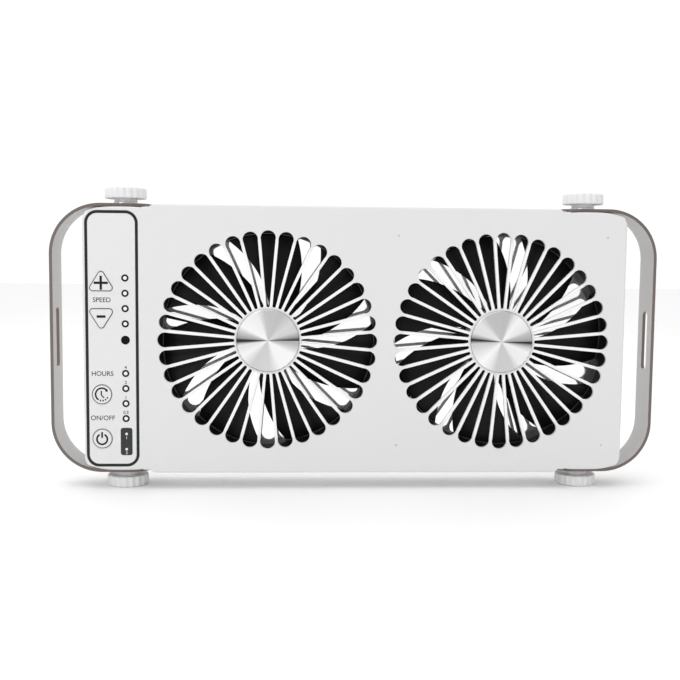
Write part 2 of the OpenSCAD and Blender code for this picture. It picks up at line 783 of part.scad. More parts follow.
module board_connectors() color([0.93, 0.91, 0.85]) lifted() for (p = CONNECTORS) at_xz(p)
    along_y(board_back_y, board_back_y + connector_d) square([connector_w, connector_h], center = true);

module board_screws() color(STEEL) lifted() for (p = BOARD_POSTS) at_xz(p) {
    rod_y(2.1, board_back_y, board_back_y + 1.4);
    rod_y(board_screw_r, inner_front_y + 2.3, board_back_y + 0.2);
}

module power_socket() color(BLACK) lifted() at_xz(SOCKET) {
    difference() {
        union() {
            rod_y(socket_r, inner_back_y - 0.5, back_y);
            along_y(inner_back_y - socket_l, inner_back_y - touch_gap) square(socket_body, center = true);
        }
        rod_y(plug_r, back_y - plug_depth, back_y + cut);
    }
    rod_y(socket_pin_r, back_y - plug_depth - 0.5, back_y - 1.5);
}

// Wires: a tube with eight sides along a route whose corners are cut twice

function unit(v) = v / norm(v);
function cut_corners(p) = let (n = len(p)) concat([p[0]],
    [for (i = [0:n - 2], k = [0.25, 0.75])
        if (!(i == 0 && k < 0.5) && !(i == n - 2 && k > 0.5)) p[i] + (p[i + 1] - p[i]) * k],
    [p[n - 1]]);
function heading(p, i) = unit(p[min(i + 1, len(p) - 1)] - p[max(i - 1, 0)]);
function square_to(v, t) = unit(v - t * (v * t));
function sides_of(p, i, u) = i == len(p) ? [] :
    let (t = heading(p, i), a = square_to(u, t)) concat([[a, cross(t, a)]], sides_of(p, i + 1, a));

module tube(route, r) {
    p = cut_corners(cut_corners(route));
    n = len(p);
    m = 8;
    first = abs(heading(p, 0)[0]) > 0.8 ? [0, 0, 1] : [1, 0, 0];
    s = sides_of(p, 0, first);
    ring_points = [for (i = [0:n - 1], k = [0:m - 1]) p[i] + r * (cos(k * 360 / m) * s[i][0] + sin(k * 360 / m) * s[i][1])];
    faces = concat([[for (k = [0:m - 1]) k]], [[for (k = [m - 1:-1:0]) (n - 1) * m + k]],
        [for (i = [0:n - 2], k = [0:m - 1]) let (a = i * m + k, b = i * m + (k + 1) % m)
            [a, a + m, b]],
        [for (i = [0:n - 2], k = [0:m - 1]) let (a = i * m + k, b = i * m + (k + 1) % m)
            [b, a + m, b + m]]);
    polyhedron(ring_points, faces);
}

function strut_point(x, r, y) = [x + r * cos(strut_angle), y, r * sin(strut_angle)];

// From a motor board, along the back of a strut, under the fans and up to a connector
function fan_wire(x, lane_y, plug) = let (turn_x = board_x + board_w / 2 + 6, end_x = plug[0] + connector_w / 2,
    leave_r = -(wire_z) / sin(-strut_angle), py = board_back_y + connector_d / 2)
    [strut_point(x, wire_hole_at, base_front_y + touch_gap), strut_point(x, wire_hole_at, wire_y),
        strut_point(x, wire_hole_at + 8, wire_y), strut_point(x, leave_r - 8, wire_y),
        [x + leave_r * cos(strut_angle) - 4, wire_y, wire_z],
        [x + leave_r * cos(strut_angle) - 14, wire_y, wire_z],
        [x + leave_r * cos(strut_angle) - 28, lane_y, wire_z],
        [turn_x + 8, lane_y, wire_z], [turn_x, lane_y, wire_z + 2], [turn_x, py, plug[1]],
        [turn_x - 2, py, plug[1]], [end_x + 0.02, py, plug[1]]];

module wiring_loom() color([0.12, 0.12, 0.13]) lifted() {
    tube(fan_wire(fan_x[1], wire_y - wire_step, CONNECTORS[0]), wire_r);
    tube(fan_wire(fan_x[0], wire_y, CONNECTORS[1]), wire_r);
    tube([[SOCKET[0], inner_back_y - socket_l - 0.02, SOCKET[1]],
        [SOCKET[0], inner_back_y - socket_l - 3, SOCKET[1]],
        [SOCKET[0], inner_back_y - socket_l - 3.5, SOCKET[1] + 6],
        [CONNECTORS[2][0], board_back_y + connector_d / 2, CONNECTORS[2][1] - connector_h / 2 - 3],
        [CONNECTORS[2][0], board_back_y + connector_d / 2, CONNECTORS[2][1] - connector_h / 2 - 0.02]], wire_r);
}

// Fans

module cap_at(x) color(STEEL) lifted() translate([x, 0, 0]) turned_y()
    polygon([[0, front_y - cap_proud], [cap_r - 0.5, front_y - cap_proud], [cap_r, front_y - cap_proud + 0.5],
        [cap_r, front_y + cap_t - cap_proud], [0, front_y + cap_t - cap_proud]]);

module cap_left() cap_at(fan_x[0]);
module cap_right() cap_at(fan_x[1]);

module flange_2d(hole_r) difference() {
    rounded_rect(frame_w, frame_w, frame_corner_r);
    circle(hole_r);
}

module fan_frame_at(x) color(BLACK) lifted() translate([x, 0, 0]) difference() {
    union() {
        along_y(frame_front_y, frame_front_y + flange_t) flange_2d(throat_r + throat_t / 2);
        along_y(frame_back_y - flange_t, frame_back_y) flange_2d(throat_r + throat_t / 2);
        turned_y() polygon([[throat_r + 1.5, frame_front_y], [throat_r + throat_t, frame_front_y],
            [throat_r + throat_t, frame_back_y], [throat_r + 0.8, frame_back_y],
            [throat_r, frame_back_y - flange_t], [throat_r, frame_front_y + 2 * flange_t]]);
        for (sx = [-1, 1], sz = [-1, 1]) at_xz([sx * frame_hole_d, sz * frame_hole_d])
            rod_y(post_r, frame_front_y, frame_back_y);
        for (i = [0:strut_count - 1]) rotate([0, -strut_angle - i * 360 / strut_count, 0])
            translate([base_r - 2, base_front_y, -strut_w / 2])
                cube([throat_r + throat_t / 2 - base_r + 2, strut_back_y - base_front_y, strut_w]);
        rod_y(base_r, base_front_y, base_back_y);
        rod_y(tube_r, tube_front_y, base_front_y + base_t / 2);
    }
    for (sx = [-1, 1], sz = [-1, 1]) at_xz([sx * frame_hole_d, sz * frame_hole_d]) {
        rod_y(fan_screw_r + 0.25, frame_front_y - cut, frame_back_y + cut);
        rod_y(screw_head_r + 0.3, frame_front_y - cut, frame_front_y + screw_head_h + 0.2);
    }
    rod_y(bearing_r - 0.7, tube_front_y - cut, base_back_y + cut);
    rod_y(bearing_r + 0.03, tube_front_y - cut, tube_front_y + bearing_w);
    rod_y(bearing_r + 0.03, base_front_y - bearing_w, base_back_y + cut);
    at_xz([wire_hole_at * cos(strut_angle), wire_hole_at * sin(strut_angle)])
        rod_y(wire_hole_r, base_front_y - cut, frame_back_y + cut);
}

module fan_frame_left() fan_frame_at(fan_x[0]);
module fan_frame_right() fan_frame_at(fan_x[1]);

// A blade is a grid of points: i runs from root to tip, j from the front edge to the back edge.
// The free angle between blades, the sweep and the depth change evenly from root to tip.
function blade_point(i, j, side, ni, nj) = let (a = i / ni, b = j / nj, r = root_r + (tip_r - root_r) * a,
    gap = blade_gap_in + (blade_gap_out - blade_gap_in) * min(1, 2 * a),
    span = 360 / blade_count - gap,
    angle = gap / 2 + span * (1 - b) + blade_sweep * (a - 0.57),
    share = blade_root_share + (blade_tip_share - blade_root_share) * a,
    depth = hub_d * share - blade_t,
    bow = 0.12 * depth * sin(180 * b),
    mid = hub_front_y + hub_d / 2 + depth * (b - 0.5) - bow,
    thick = blade_t * (0.35 + 0.65 * sin(180 * (0.1 + 0.8 * b))) * (1 - 0.35 * a))
    [r * cos(angle), mid + side * thick / 2, r * sin(angle)];

module blade() {
    ni = 9;
    nj = 7;
    m = nj + 1;
    n = (ni + 1) * m;
    points = [for (side = [-1, 1], i = [0:ni], j = [0:nj]) blade_point(i, j, side, ni, nj)];
    rim = concat([for (j = [0:nj]) j], [for (i = [1:ni]) i * m + nj],
        [for (j = [nj - 1:-1:0]) ni * m + j], [for (i = [ni - 1:-1:1]) i * m]);
    k = len(rim);
    faces = concat(
        [for (i = [0:ni - 1], j = [0:nj - 1]) [i * m + j, (i + 1) * m + j, i * m + j + 1]],
        [for (i = [0:ni - 1], j = [0:nj - 1]) [(i + 1) * m + j, (i + 1) * m + j + 1, i * m + j + 1]],
        [for (i = [0:ni - 1], j = [0:nj - 1]) [n + i * m + j, n + i * m + j + 1, n + (i + 1) * m + j]],
        [for (i = [0:ni - 1], j = [0:nj - 1]) [n + (i + 1) * m + j, n + i * m + j + 1, n + (i + 1) * m + j + 1]],
        [for (e = [0:k - 1]) [rim[e], rim[(e + 1) % k], n + rim[e]]],
        [for (e = [0:k - 1]) [n + rim[e], rim[(e + 1) % k], n + rim[(e + 1) % k]]]);
    polyhedron(points, faces);
}

module impeller_at(x, phase) color(BLACK) lifted() translate([x, 0, 0]) {
    difference() {
        union() {
            turned_y() polygon([[0, hub_front_y], [hub_r - 1.2, hub_front_y], [hub_r, hub_front_y + 1.2],
                [hub_r, hub_back_y], [hub_r - hub_t, hub_back_y], [hub_r - hub_t, hub_front_y + hub_t],
                [0, hub_front_y + hub_t]]);
            rod_y(hub_boss_r, hub_front_y + hub_t / 2, tube_front_y - 0.3);
        }
        rod_y(shaft_r + 0.01, shaft_front_y, tube_front_y);
    }
    for (i = [0:blade_count - 1]) rotate([0, -phase - i * 360 / blade_count, 0]) blade();
}

module impeller_left() impeller_at(fan_x[0], left_phase);
module impeller_right() impeller_at(fan_x[1], right_phase);

module shaft_at(x) color(STEEL) lifted() translate([x, 0, 0]) difference() {
    rod_y(shaft_r, shaft_front_y, shaft_back_y);
    turned_y() translate([shaft_r - 0.35, shaft_back_y - 2 * clip_t]) square([1, clip_t]);
}

module shaft_left() shaft_at(fan_x[0]);
module shaft_right() shaft_at(fan_x[1]);

module shaft_clip_at(x) color(STEEL) lifted() translate([x, 0, 0]) turned_y()
    translate([shaft_r - 0.33, shaft_back_y - 2 * clip_t + 0.05]) square([1.5, clip_t - 0.1]);

module shaft_clip_left() shaft_clip_at(fan_x[0]);
module shaft_clip_right() shaft_clip_at(fan_x[1]);

module bearings_at(x) color(STEEL) lifted() translate([x, 0, 0])
    for (y0 = [tube_front_y, base_front_y - bearing_w]) turned_y() translate([shaft_r + fit_gap, y0])
        square([bearing_r - shaft_r - fit_gap, bearing_w - 0.02]);

module bearings_left() bearings_at(fan_x[0]);
module bearings_right() bearings_at(fan_x[1]);

module stator_core_at(x) color(STEEL) lifted() translate([x, 0, 0]) along_y(core_y, core_y + core_h) difference() {
    union() {
        circle(tube_r + 2.4);
        for (i = [0:pole_count - 1]) rotate(i * 360 / pole_count) {
            translate([0, -arm_w / 2]) square([stator_r - shoe_t / 2, arm_w]);
            intersection() {
                difference() {
                    circle(stator_r);
                    circle(stator_r - shoe_t);
                }
                polygon([[0, 0], [2 * stator_r, -stator_r * 96 / (pole_count * 32)],
                    [2 * stator_r, stator_r * 96 / (pole_count * 32)]]);
            }
        }
    }
    circle(tube_r + fit_gap);
}

module stator_core_left() stator_core_at(fan_x[0]);
module stator_core_right() stator_core_at(fan_x[1]);

module windings_at(x) color(COPPER) lifted() translate([x, 0, 0]) for (i = [0:pole_count - 1])
    rotate([0, -i * 360 / pole_count, 0]) difference() {
        translate([tube_r + 2.8, core_y - winding_t, -winding_half_w])
            cube([winding_end - tube_r - 2.8, core_h + 2 * winding_t, 2 * winding_half_w]);
        translate([0, core_y - fit_gap, -arm_w / 2 - fit_gap])
            cube([stator_r, core_h + 2 * fit_gap, arm_w + 2 * fit_gap]);
    }

module windings_left() windings_at(fan_x[0]);
module windings_right() windings_at(fan_x[1]);

module magnet_ring_at(x) color([0.25, 0.24, 0.24]) lifted() translate([x, 0, 0]) turned_y()
    translate([magnet_r - magnet_t, core_y - 1]) square([magnet_t - 0.01, core_h + 3]);

module magnet_ring_left() magnet_ring_at(fan_x[0]);
module magnet_ring_right() magnet_ring_at(fan_x[1]);

module motor_board_at(x) color(GREEN) lifted() translate([x, 0, 0]) {
    along_y(motor_board_y, base_front_y) difference() {
        circle(motor_board_r);
        circle(tube_r + fit_gap);
    }
    at_xz([-11, 4]) along_y(motor_board_y - 1, motor_board_y) square([4, 5], center = true);
}

module motor_board_left() motor_board_at(fan_x[0]);
module motor_board_right() motor_board_at(fan_x[1]);

// Fasteners

module fan_screws() color(STEEL) lifted() for (x = fan_x, sx = [-1, 1], sz = [-1, 1])
    at_xz([x + sx * frame_hole_d, sz * frame_hole_d]) difference() {
        union() {
            rod_y(screw_head_r, frame_front_y, frame_front_y + screw_head_h + 0.2);
            rod_y(fan_screw_r, frame_front_y + 1, inner_back_y + face_t / 4 - 0.3);
        }
        along_y(frame_front_y - cut, frame_front_y + 1.2) {
            square([3.6, 0.8], center = true);
            square([0.8, 3.6], center = true);
        }
    }

module case_screws() color(STEEL) lifted() for (p = CASE_SCREWS) at_xz(p) difference() {
    union() {
        rod_y(case_head_r, back_y - case_head_sink, back_y - case_head_sink + case_head_h);
        rod_y(case_screw_r, -4, back_y - case_head_sink + 1);
    }
    along_y(back_y - case_head_sink + case_head_h - 1.2, back_y) {
        square([3, 0.8], center = true);
        square([0.8, 3], center = true);
    }
}

// Brackets

module bracket_at(side) color(TAUPE) lifted() mirror([side, 0, 0]) difference() {
    intersection() {
        along_y(-band_w / 2, band_w / 2) difference() {
            rounded_rect(bracket_span, 2 * ear_half_h, bend_r);
            rounded_rect(bracket_span - 2 * band_t, 2 * (ear_half_h - band_t), band_in_r);
        }
        // Ears with round ends
        translate([0, 0, -ear_half_h - cut]) linear_extrude(2 * (ear_half_h + cut)) {
            translate([pivot_x - ear_reach + ear_round_r, -band_w / 2]) square([bracket_span / 2, band_w]);
            translate([pivot_x - ear_reach + ear_round_r, 0]) circle(ear_round_r);
        }
    }
    translate([pivot_x, 0, -ear_half_h - cut]) cylinder(r = ear_hole_r, h = 2 * (ear_half_h + cut));
    along_x(bracket_span / 2 - band_t - cut, bracket_span / 2 + cut) slot_2d(mount_slot_l, mount_slot_w);
}

module bracket_left() bracket_at(1);
module bracket_right() bracket_at(0);

// Pivot hardware, drawn at the top right and mirrored to its place

module pivot_place(left, bottom) lifted() mirror([left, 0, 0]) mirror([0, 0, bottom])
    translate([pivot_x, 0, 0]) children();

module knob(left, bottom) color(WHITE) pivot_place(left, bottom) difference() {
    rotate_extrude() polygon([[0, collar_z], [collar_r, collar_z], [collar_r, grip_z],
        [knob_r - 0.8, grip_z], [knob_r, grip_z + 0.8], [knob_r, knob_end_z - 1.2],
        [knob_r - 1.2, knob_end_z], [0, knob_end_z]]);
    for (i = [0:scallop_count - 1]) rotate(i * 360 / scallop_count)
        translate([knob_r + scallop_r * 0.55, 0, grip_z - cut]) cylinder(r = scallop_r, h = knob_h + 2 * cut);
    translate([0, 0, collar_z - cut]) cylinder(r = stud_r, h = knob_h + collar_h - 2.5 + cut);
}

module knob_top_left() knob(1, 0);
module knob_top_right() knob(0, 0);
module knob_bottom_left() knob(1, 1);
module knob_bottom_right() knob(0, 1);

stud_end_z = end_half_h - insert_l + 0.6;

module stud(left, bottom) color(STEEL) pivot_place(left, bottom) translate([0, 0, stud_end_z])
    cylinder(r = stud_r, h = collar_z + knob_h + collar_h - 2.6 - stud_end_z);

module stud_top_left() stud(1, 0);
module stud_top_right() stud(0, 0);
module stud_bottom_left() stud(1, 1);
module stud_bottom_right() stud(0, 1);

module washer(left, bottom) color(STEEL) pivot_place(left, bottom) translate([0, 0, washer_z])
    linear_extrude(washer_t) difference() {
        circle(washer_r);
        circle(stud_r + fit_gap);
    }

module washer_top_left() washer(1, 0);
module washer_top_right() washer(0, 0);
module washer_bottom_left() washer(1, 1);
module washer_bottom_right() washer(0, 1);

module slip_washers() color(WHITE) lifted() pivot_places() translate([0, 0, end_half_h])
    linear_extrude(slip_t) difference() {
        circle(slip_r);
        circle(stud_r + 0.3);
    }

module threaded_inserts() color(BRASS) lifted() pivot_places() translate([0, 0, end_half_h - insert_l])
    linear_extrude(insert_l - fit_gap) difference() {
        circle(insert_r);
        circle(stud_r + fit_gap);
    }

front_cover();
rear_cover();
control_strip();
strip_border();
key_plus();
key_minus();
key_timer();
key_power();
light_pipes();
lamp_bezels();
remote_window();
indicator_window();
control_board();
key_switches();
indicator_leds();
remote_receiver();
board_chips();
board_connectors();
board_screws();
wiring_loom();
power_socket();
cap_left();
cap_right();
fan_frame_left();
fan_frame_right();
impeller_left();
impeller_right();
shaft_left();
shaft_right();
bearings_left();
bearings_right();
stator_core_left();
stator_core_right();
windings_left();
windings_right();
magnet_ring_left();
magnet_ring_right();
motor_board_left();
motor_board_right();
shaft_clip_left();
shaft_clip_right();
fan_screws();
case_screws();
bracket_left();
bracket_right();
knob_top_left();
knob_top_right();
knob_bottom_left();
knob_bottom_right();
stud_top_left();
stud_top_right();
stud_bottom_left();
stud_bottom_right();
washer_top_left();
washer_top_right();
washer_bottom_left();
washer_bottom_right();
slip_washers();
threaded_inserts();
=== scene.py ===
# %% [markdown]
# # A twin vent fan
# The object is a flat white case with two fans behind petal grilles, a control strip, and a
# swivelling metal bracket at each end, clamped by scalloped thumb knobs. Its solids come from a
# packed CAD model that loads as a fixed frame. This lesson lights it, gives every solid a finish,
# and adds the finer pieces: smooth impellers, knobs, wires, and the marks printed on the keys.

# %% Loading the frame
import math
import bmesh
import bpy
import numpy as np
from mathutils import Matrix, Vector


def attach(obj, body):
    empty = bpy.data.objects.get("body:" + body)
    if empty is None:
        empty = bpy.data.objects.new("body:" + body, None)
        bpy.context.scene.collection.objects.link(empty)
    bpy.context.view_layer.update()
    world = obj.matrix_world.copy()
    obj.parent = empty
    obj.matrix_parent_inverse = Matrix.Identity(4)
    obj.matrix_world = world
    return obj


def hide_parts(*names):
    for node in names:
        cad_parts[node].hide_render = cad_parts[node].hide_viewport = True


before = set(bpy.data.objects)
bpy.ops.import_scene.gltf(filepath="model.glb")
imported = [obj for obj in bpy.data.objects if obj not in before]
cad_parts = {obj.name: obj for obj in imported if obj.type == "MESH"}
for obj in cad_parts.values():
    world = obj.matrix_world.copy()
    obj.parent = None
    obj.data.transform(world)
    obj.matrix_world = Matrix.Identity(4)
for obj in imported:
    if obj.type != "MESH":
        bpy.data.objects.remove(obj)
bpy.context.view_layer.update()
scene = bpy.context.scene

# %% [markdown]
# ## Camera
# The photograph was taken from a little left of the middle and slightly above it, almost square
# to the front. A fit of the outline and the symbols gave the eye's place, three small turns and a
# focal length of 926 pixels for a picture 680 pixels wide. The turns follow in the fit's own order.
# They take the object into the camera's axes, so the camera itself is turned by the transpose.

# %% Camera at the photograph's viewing angle
MID_Z = 0.0985
PICTURE = 680
FOCAL_PIXELS = 926
EYE = (-0.0416, -0.6211, MID_Z + 0.0494)
TURNS = (("Z", -0.551), ("X", 4.614), ("Y", 2.863))

camera_data = bpy.data.cameras.new("camera")
camera_data.sensor_width = 36
camera_data.lens = FOCAL_PIXELS / PICTURE * camera_data.sensor_width
camera_data.clip_start = 0.01
camera_data.clip_end = 100
camera = bpy.data.objects.new("camera", camera_data)
scene.collection.objects.link(camera)
view = Matrix.Identity(3)
for axis, degrees in TURNS:
    view = view @ Matrix.Rotation(math.radians(degrees), 3, axis)
view = view @ Matrix(((1, 0, 0), (0, 0, 1), (0, -1, 0)))
camera.matrix_world = Matrix.Translation(EYE) @ view.transposed().to_4x4()
scene.camera = camera
print("lens:", round(camera_data.lens, 2), "mm")

# %% [markdown]
# ## Shader arithmetic
# A finish is mostly arithmetic on coordinates: rings, waves, masks. One small class wraps a
# socket, so that such a formula reads as Python, and one method adds any other node.

# %% A socket that can be added, multiplied and compared
class Wire:
    """The output of a shader node. Its operators add Math nodes to the same tree."""

    def __init__(self, tree, socket):
        self.tree, self.socket = tree, socket

    def node(self, kind, *inputs, settings=None, out=0, **named):
        """Adds a node: its settings first, then its sockets by place or by name."""
        made = self.tree.nodes.new(kind)
        for key, value in (settings or {}).items():
            setattr(made, key, value)
        for key, value in [*enumerate(inputs), *named.items()]:
            socket = made.inputs[key.replace("_", " ") if isinstance(key, str) else key]
            if isinstance(value, Wire):
                self.tree.links.new(value.socket, socket)
            elif value is not None:
                socket.default_value = value
        return Wire(self.tree, made.outputs[out])

    def math(self, operation, *inputs):
        return self.node("ShaderNodeMath", *inputs, settings={"operation": operation})

    def __add__(self, other): return self.math("ADD", self, other)
    def __sub__(self, other): return self.math("SUBTRACT", self, other)
    def __rsub__(self, other): return self.math("SUBTRACT", other, self)
    def __mul__(self, other): return self.math("MULTIPLY", self, other)
    def __truediv__(self, other): return self.math("DIVIDE", self, other)
    def __pow__(self, other): return self.math("POWER", self, other)
    def __gt__(self, other): return self.math("GREATER_THAN", self, other)
    def __lt__(self, other): return self.math("LESS_THAN", self, other)
    def __abs__(self): return self.math("ABSOLUTE", self)
    def sin(self): return self.math("SINE", self)
    def fract(self): return self.math("FRACT", self)
    def turn_of(self, other): return self.math("ARCTAN2", self, other)

    def clamp(self):
        """Keeps the value between 0 and 1."""
        return self.math("MAXIMUM", self.math("MINIMUM", self, 1.0), 0.0)

    def rise(self, start, end):
        """Goes smoothly from 0 to 1 while the value goes from start to end."""
        return self.node("ShaderNodeMapRange", self, start, end,
                         settings={"interpolation_type": "SMOOTHSTEP"})


def distance(a, b):
    """How far a point lies from an axis, by its two distances square to it."""
    return (a * a + b * b) ** 0.5


def tinted(factor, first, second):
    """The first colour where the factor is 0, the second where it is 1.

    The Mix node has its factor on socket 0 and its colours on sockets 6 and 7.
    """
    made = factor.tree.nodes.new("ShaderNodeMix")
    made.data_type = "RGBA"
    for place, value in ((0, factor), (6, first), (7, second)):
        socket = made.inputs[place]
        if isinstance(value, Wire):
            factor.tree.links.new(value.socket, socket)
        else:
            socket.default_value = (*value, 1)
    return Wire(factor.tree, made.outputs[2])


print("methods of a wire:", [name for name in vars(Wire) if not name.startswith("_")])

# %% [markdown]
# ## A finish and its common parts
# Every finish starts from the piece's own coordinates in metres, so that grain keeps its real
# size. Moulded and machined edges are never quite sharp: the Bevel node bends the light over the
# first few tenths of a millimetre, which saves thousands of small faces.

# %% Finishes
class Finish:
    """A material on the Principled shader, with its place in metres."""

    def __init__(self, name, colour, roughness, centre=(0, 0, 0), **fixed):
        self.material = bpy.data.materials.new(name)
        self.material.use_nodes = True
        self.tree = self.material.node_tree
        self.shader = self.tree.nodes["Principled BSDF"]
        self.colour, self.roughness = colour, roughness
        start = Wire(self.tree, self.tree.nodes.new("ShaderNodeTexCoord").outputs["Object"])
        self.place = start.node("ShaderNodeMapping", start, Location=[-c for c in centre])
        self.put(Base_Color=(*colour, 1), Roughness=roughness, **fixed)

    def put(self, **sockets):
        for key, value in sockets.items():
            socket = self.shader.inputs[key.replace("_", " ")]
            if isinstance(value, Wire):
                self.tree.links.new(value.socket, socket)
            else:
                socket.default_value = value
        return self

    def axes(self):
        split = self.place.node("ShaderNodeSeparateXYZ", self.place).socket.node
        return [Wire(self.tree, out) for out in split.outputs]

    def noise(self, size, detail=2.0):
        """Noise whose lumps are about the given size in metres."""
        return self.place.node("ShaderNodeTexNoise", Vector=self.place, Scale=1 / size,
                               Detail=detail)

    def shades(self, amount, size):
        """Lets the colour wander by a share of itself."""
        dark = tuple(c * (1 - amount) for c in self.colour)
        light = tuple(min(1, c * (1 + amount)) for c in self.colour)
        return self.put(Base_Color=tinted(self.noise(size, 3.0), dark, light))

    def gloss(self, amount, size):
        """Lets the roughness wander round its value."""
        return self.put(Roughness=self.noise(size, 3.0) * (2 * amount) + (self.roughness - amount))

    def relief(self, height, depth, rounding=0.0):
        """Bends the normals by a height field of the given depth in metres, over rounded edges."""
        normal = (self.place.node("ShaderNodeBevel", rounding, settings={"samples": 4})
                  if rounding else None)
        bump = self.place.node("ShaderNodeBump", Strength=1.0, Distance=depth, Height=height,
                               Normal=normal)
        return self.put(Normal=bump)


def dress(finish, *nodes):
    """Puts a finish on CAD solids, in the slots that they already have."""
    for node in nodes:
        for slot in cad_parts[node].material_slots:
            slot.material = finish.material
    return finish


SIDES = ("left", "right")
CORNERS = [f"{v}_{h}" for v in ("top", "bottom") for h in SIDES]
print("corners:", CORNERS)

# %% [markdown]
# ## Room
# The photograph has a white, evenly lit backdrop with hardly any shadow. A bright world does most
# of the work, one broad lamp from above gives the faces their slight differences, and a pale floor
# carries the lower knobs.

# %% Floor, world and lamps
floor_finish = Finish("pale_floor", (0.96, 0.96, 0.96), 0.7)
floor_mesh = bpy.data.meshes.new("floor")
HALF_FLOOR = 6
square = [(-1, -1), (1, -1), (1, 1), (-1, 1)]
floor_mesh.from_pydata([(HALF_FLOOR * a, HALF_FLOOR * b, 0) for a, b in square], [], [(0, 1, 2, 3)])
floor = bpy.data.objects.new("floor", floor_mesh)
floor_mesh.materials.append(floor_finish.material)
scene.collection.objects.link(floor)

world = bpy.data.worlds.new("studio")
world.use_nodes = True
sky = world.node_tree
backdrop = sky.nodes["Background"]
backdrop.inputs["Color"].default_value = (1, 1, 1, 1)
direction = Wire(sky, sky.nodes.new("ShaderNodeTexCoord").outputs["Generated"])
towards = direction.node("ShaderNodeSeparateXYZ", direction, out=1)
upward = direction.node("ShaderNodeSeparateXYZ", direction, out=2)
brightness = towards.rise(-0.5, 0.4) * 0.38 + upward.clamp() * 0.16 + 0.66
sky.links.new(brightness.socket, backdrop.inputs["Strength"])
scene.world = world
scene.view_settings.view_transform = "Standard"


def lamp(name, place, target, width, height, power):
    """A rectangular soft lamp that faces the target."""
    data = bpy.data.lights.new(name, "AREA")
    data.shape, data.size, data.size_y, data.energy = "RECTANGLE", width, height, power
    made = bpy.data.objects.new(name, data)
    made.location = place
    made.rotation_euler = (Vector(target) - Vector(place)).to_track_quat("-Z", "Y").to_euler()
    scene.collection.objects.link(made)
    return made


lamps = [lamp("above", (-0.3, -0.5, 1.6), (0, 0, 0.1), 1.8, 1.2, 8),
         lamp("front_left", (-1.2, -1.4, 0.6), (0, 0, 0.1), 1.0, 1.0, 4)]
print("lamps:", [item.name for item in lamps])

# %% [markdown]
# ## White plastic
# The case is moulded ABS with a fine even grain. It is not pure white: beside the backdrop it
# reads as a very light grey. The ribs of the grilles catch the light on their edges and look nearly
# white; this is a painted highlight: the tone rises between two radii round each fan. X is folded
# about the fans' middle, so one formula serves both.

# %% White shell, strip, keys and knobs
FANS_MID, FANS_HALF = 0.0184, 0.0769
CAP_EDGE, RIBS_START, RIBS_FADE, RIBS_END = 0.0212, 0.0232, 0.060, 0.0705
shell = Finish("white_shell", (0.735, 0.735, 0.735), 0.42, centre=(FANS_MID, 0, MID_Z),
               Specular_IOR_Level=0.45)
x, _, z = shell.axes()
radius = distance(abs(x) - FANS_HALF, z)
# Painted highlight: between these radii the ribs are made nearly white, as their edges catch light.
rib_highlight_mask = radius.rise(CAP_EDGE, RIBS_START) * (1 - radius.rise(RIBS_FADE, RIBS_END))
plain = tinted(shell.noise(0.05, 3.0), (0.726, 0.726, 0.726), (0.744, 0.744, 0.744))
shell.put(Base_Color=tinted(rib_highlight_mask, plain, (0.90, 0.90, 0.90))).gloss(0.05, 0.03)
shell.relief(shell.noise(0.0006, 3.0), 0.00001, rounding=0.0005)
dress(shell, "front_cover", "rear_cover")

strip = Finish("strip_film", (0.745, 0.745, 0.745), 0.34)
strip.shades(0.008, 0.04).gloss(0.04, 0.02)
strip.relief(strip.noise(0.0004), 0.000004, rounding=0.0002)
dress(strip, "control_strip")

keys = Finish("white_keys", (0.745, 0.745, 0.745), 0.36)
keys.shades(0.008, 0.02).gloss(0.04, 0.01)
keys.relief(keys.noise(0.0005), 0.000004, rounding=0.0003)
dress(keys, "key_plus", "key_minus", "key_timer", "key_power")

knob_white = Finish("knob_white", (0.78, 0.78, 0.78), 0.38, Subsurface_Weight=0.08,
                    Subsurface_Radius=(0.002, 0.002, 0.002))
knob_white.shades(0.01, 0.01).gloss(0.06, 0.006)
knob_white.relief(knob_white.noise(0.0005, 3.0), 0.000008)
print("white finishes:", [made.material.name for made in (shell, strip, keys, knob_white)])

# %% [markdown]
# ## Black plastic
# The fans are moulded in black glass-filled nylon. It has a soft sheen, faint flow marks, and on
# the throat the concentric lines that the mould's turned core leaves.

# %% Fan plastic and the parts of the control panel
FAN_X = {"left": -0.0585, "right": 0.0953}


def fan_plastic(name, side, colour, roughness, ring_pitch):
    """Black plastic with rings round one fan's axis: the height is a sine of the radius."""
    made = Finish(name, colour, roughness, centre=(FAN_X[side], 0, MID_Z), Specular_IOR_Level=0.17)
    x, _, z = made.axes()
    made.shades(0.25, 0.012).gloss(0.08, 0.008)
    rings = (distance(x, z) * (2 * math.pi / ring_pitch)).sin() * 0.5
    made.relief(rings + made.noise(0.0015, 3.0), 0.00002, rounding=0.0003)
    return made


for side in SIDES:
    dress(fan_plastic(f"frame_black_{side}", side, (0.005, 0.005, 0.0055), 0.6, 0.0016),
          f"fan_frame_{side}")

black = Finish("trim_black", (0.012, 0.012, 0.013), 0.35, Specular_IOR_Level=0.3)
black.shades(0.15, 0.01).gloss(0.06, 0.005)
black.relief(black.noise(0.0005), 0.000006, rounding=0.0003)
dress(black, "strip_border")

bezels = Finish("bezel_black", (0.010, 0.010, 0.011), 0.35, Specular_IOR_Level=0.2)
bezels.shades(0.15, 0.002).gloss(0.06, 0.002)
bezels.relief(bezels.noise(0.0004), 0.000005, rounding=0.0002)
dress(bezels, "lamp_bezels")

smoked = Finish("smoked_window", (0.005, 0.005, 0.006), 0.16, Specular_IOR_Level=0.08)
smoked.shades(0.2, 0.006).gloss(0.04, 0.004)
smoked.relief(smoked.noise(0.003), 0.000004, rounding=0.0003)
dress(smoked, "remote_window", "remote_receiver")

tinted_window = Finish("tinted_window", (0.034, 0.035, 0.037), 0.22, Specular_IOR_Level=0.25)
tinted_window.shades(0.1, 0.006).gloss(0.05, 0.004)
tinted_window.relief(tinted_window.noise(0.003), 0.000004, rounding=0.0003)
dress(tinted_window, "indicator_window")

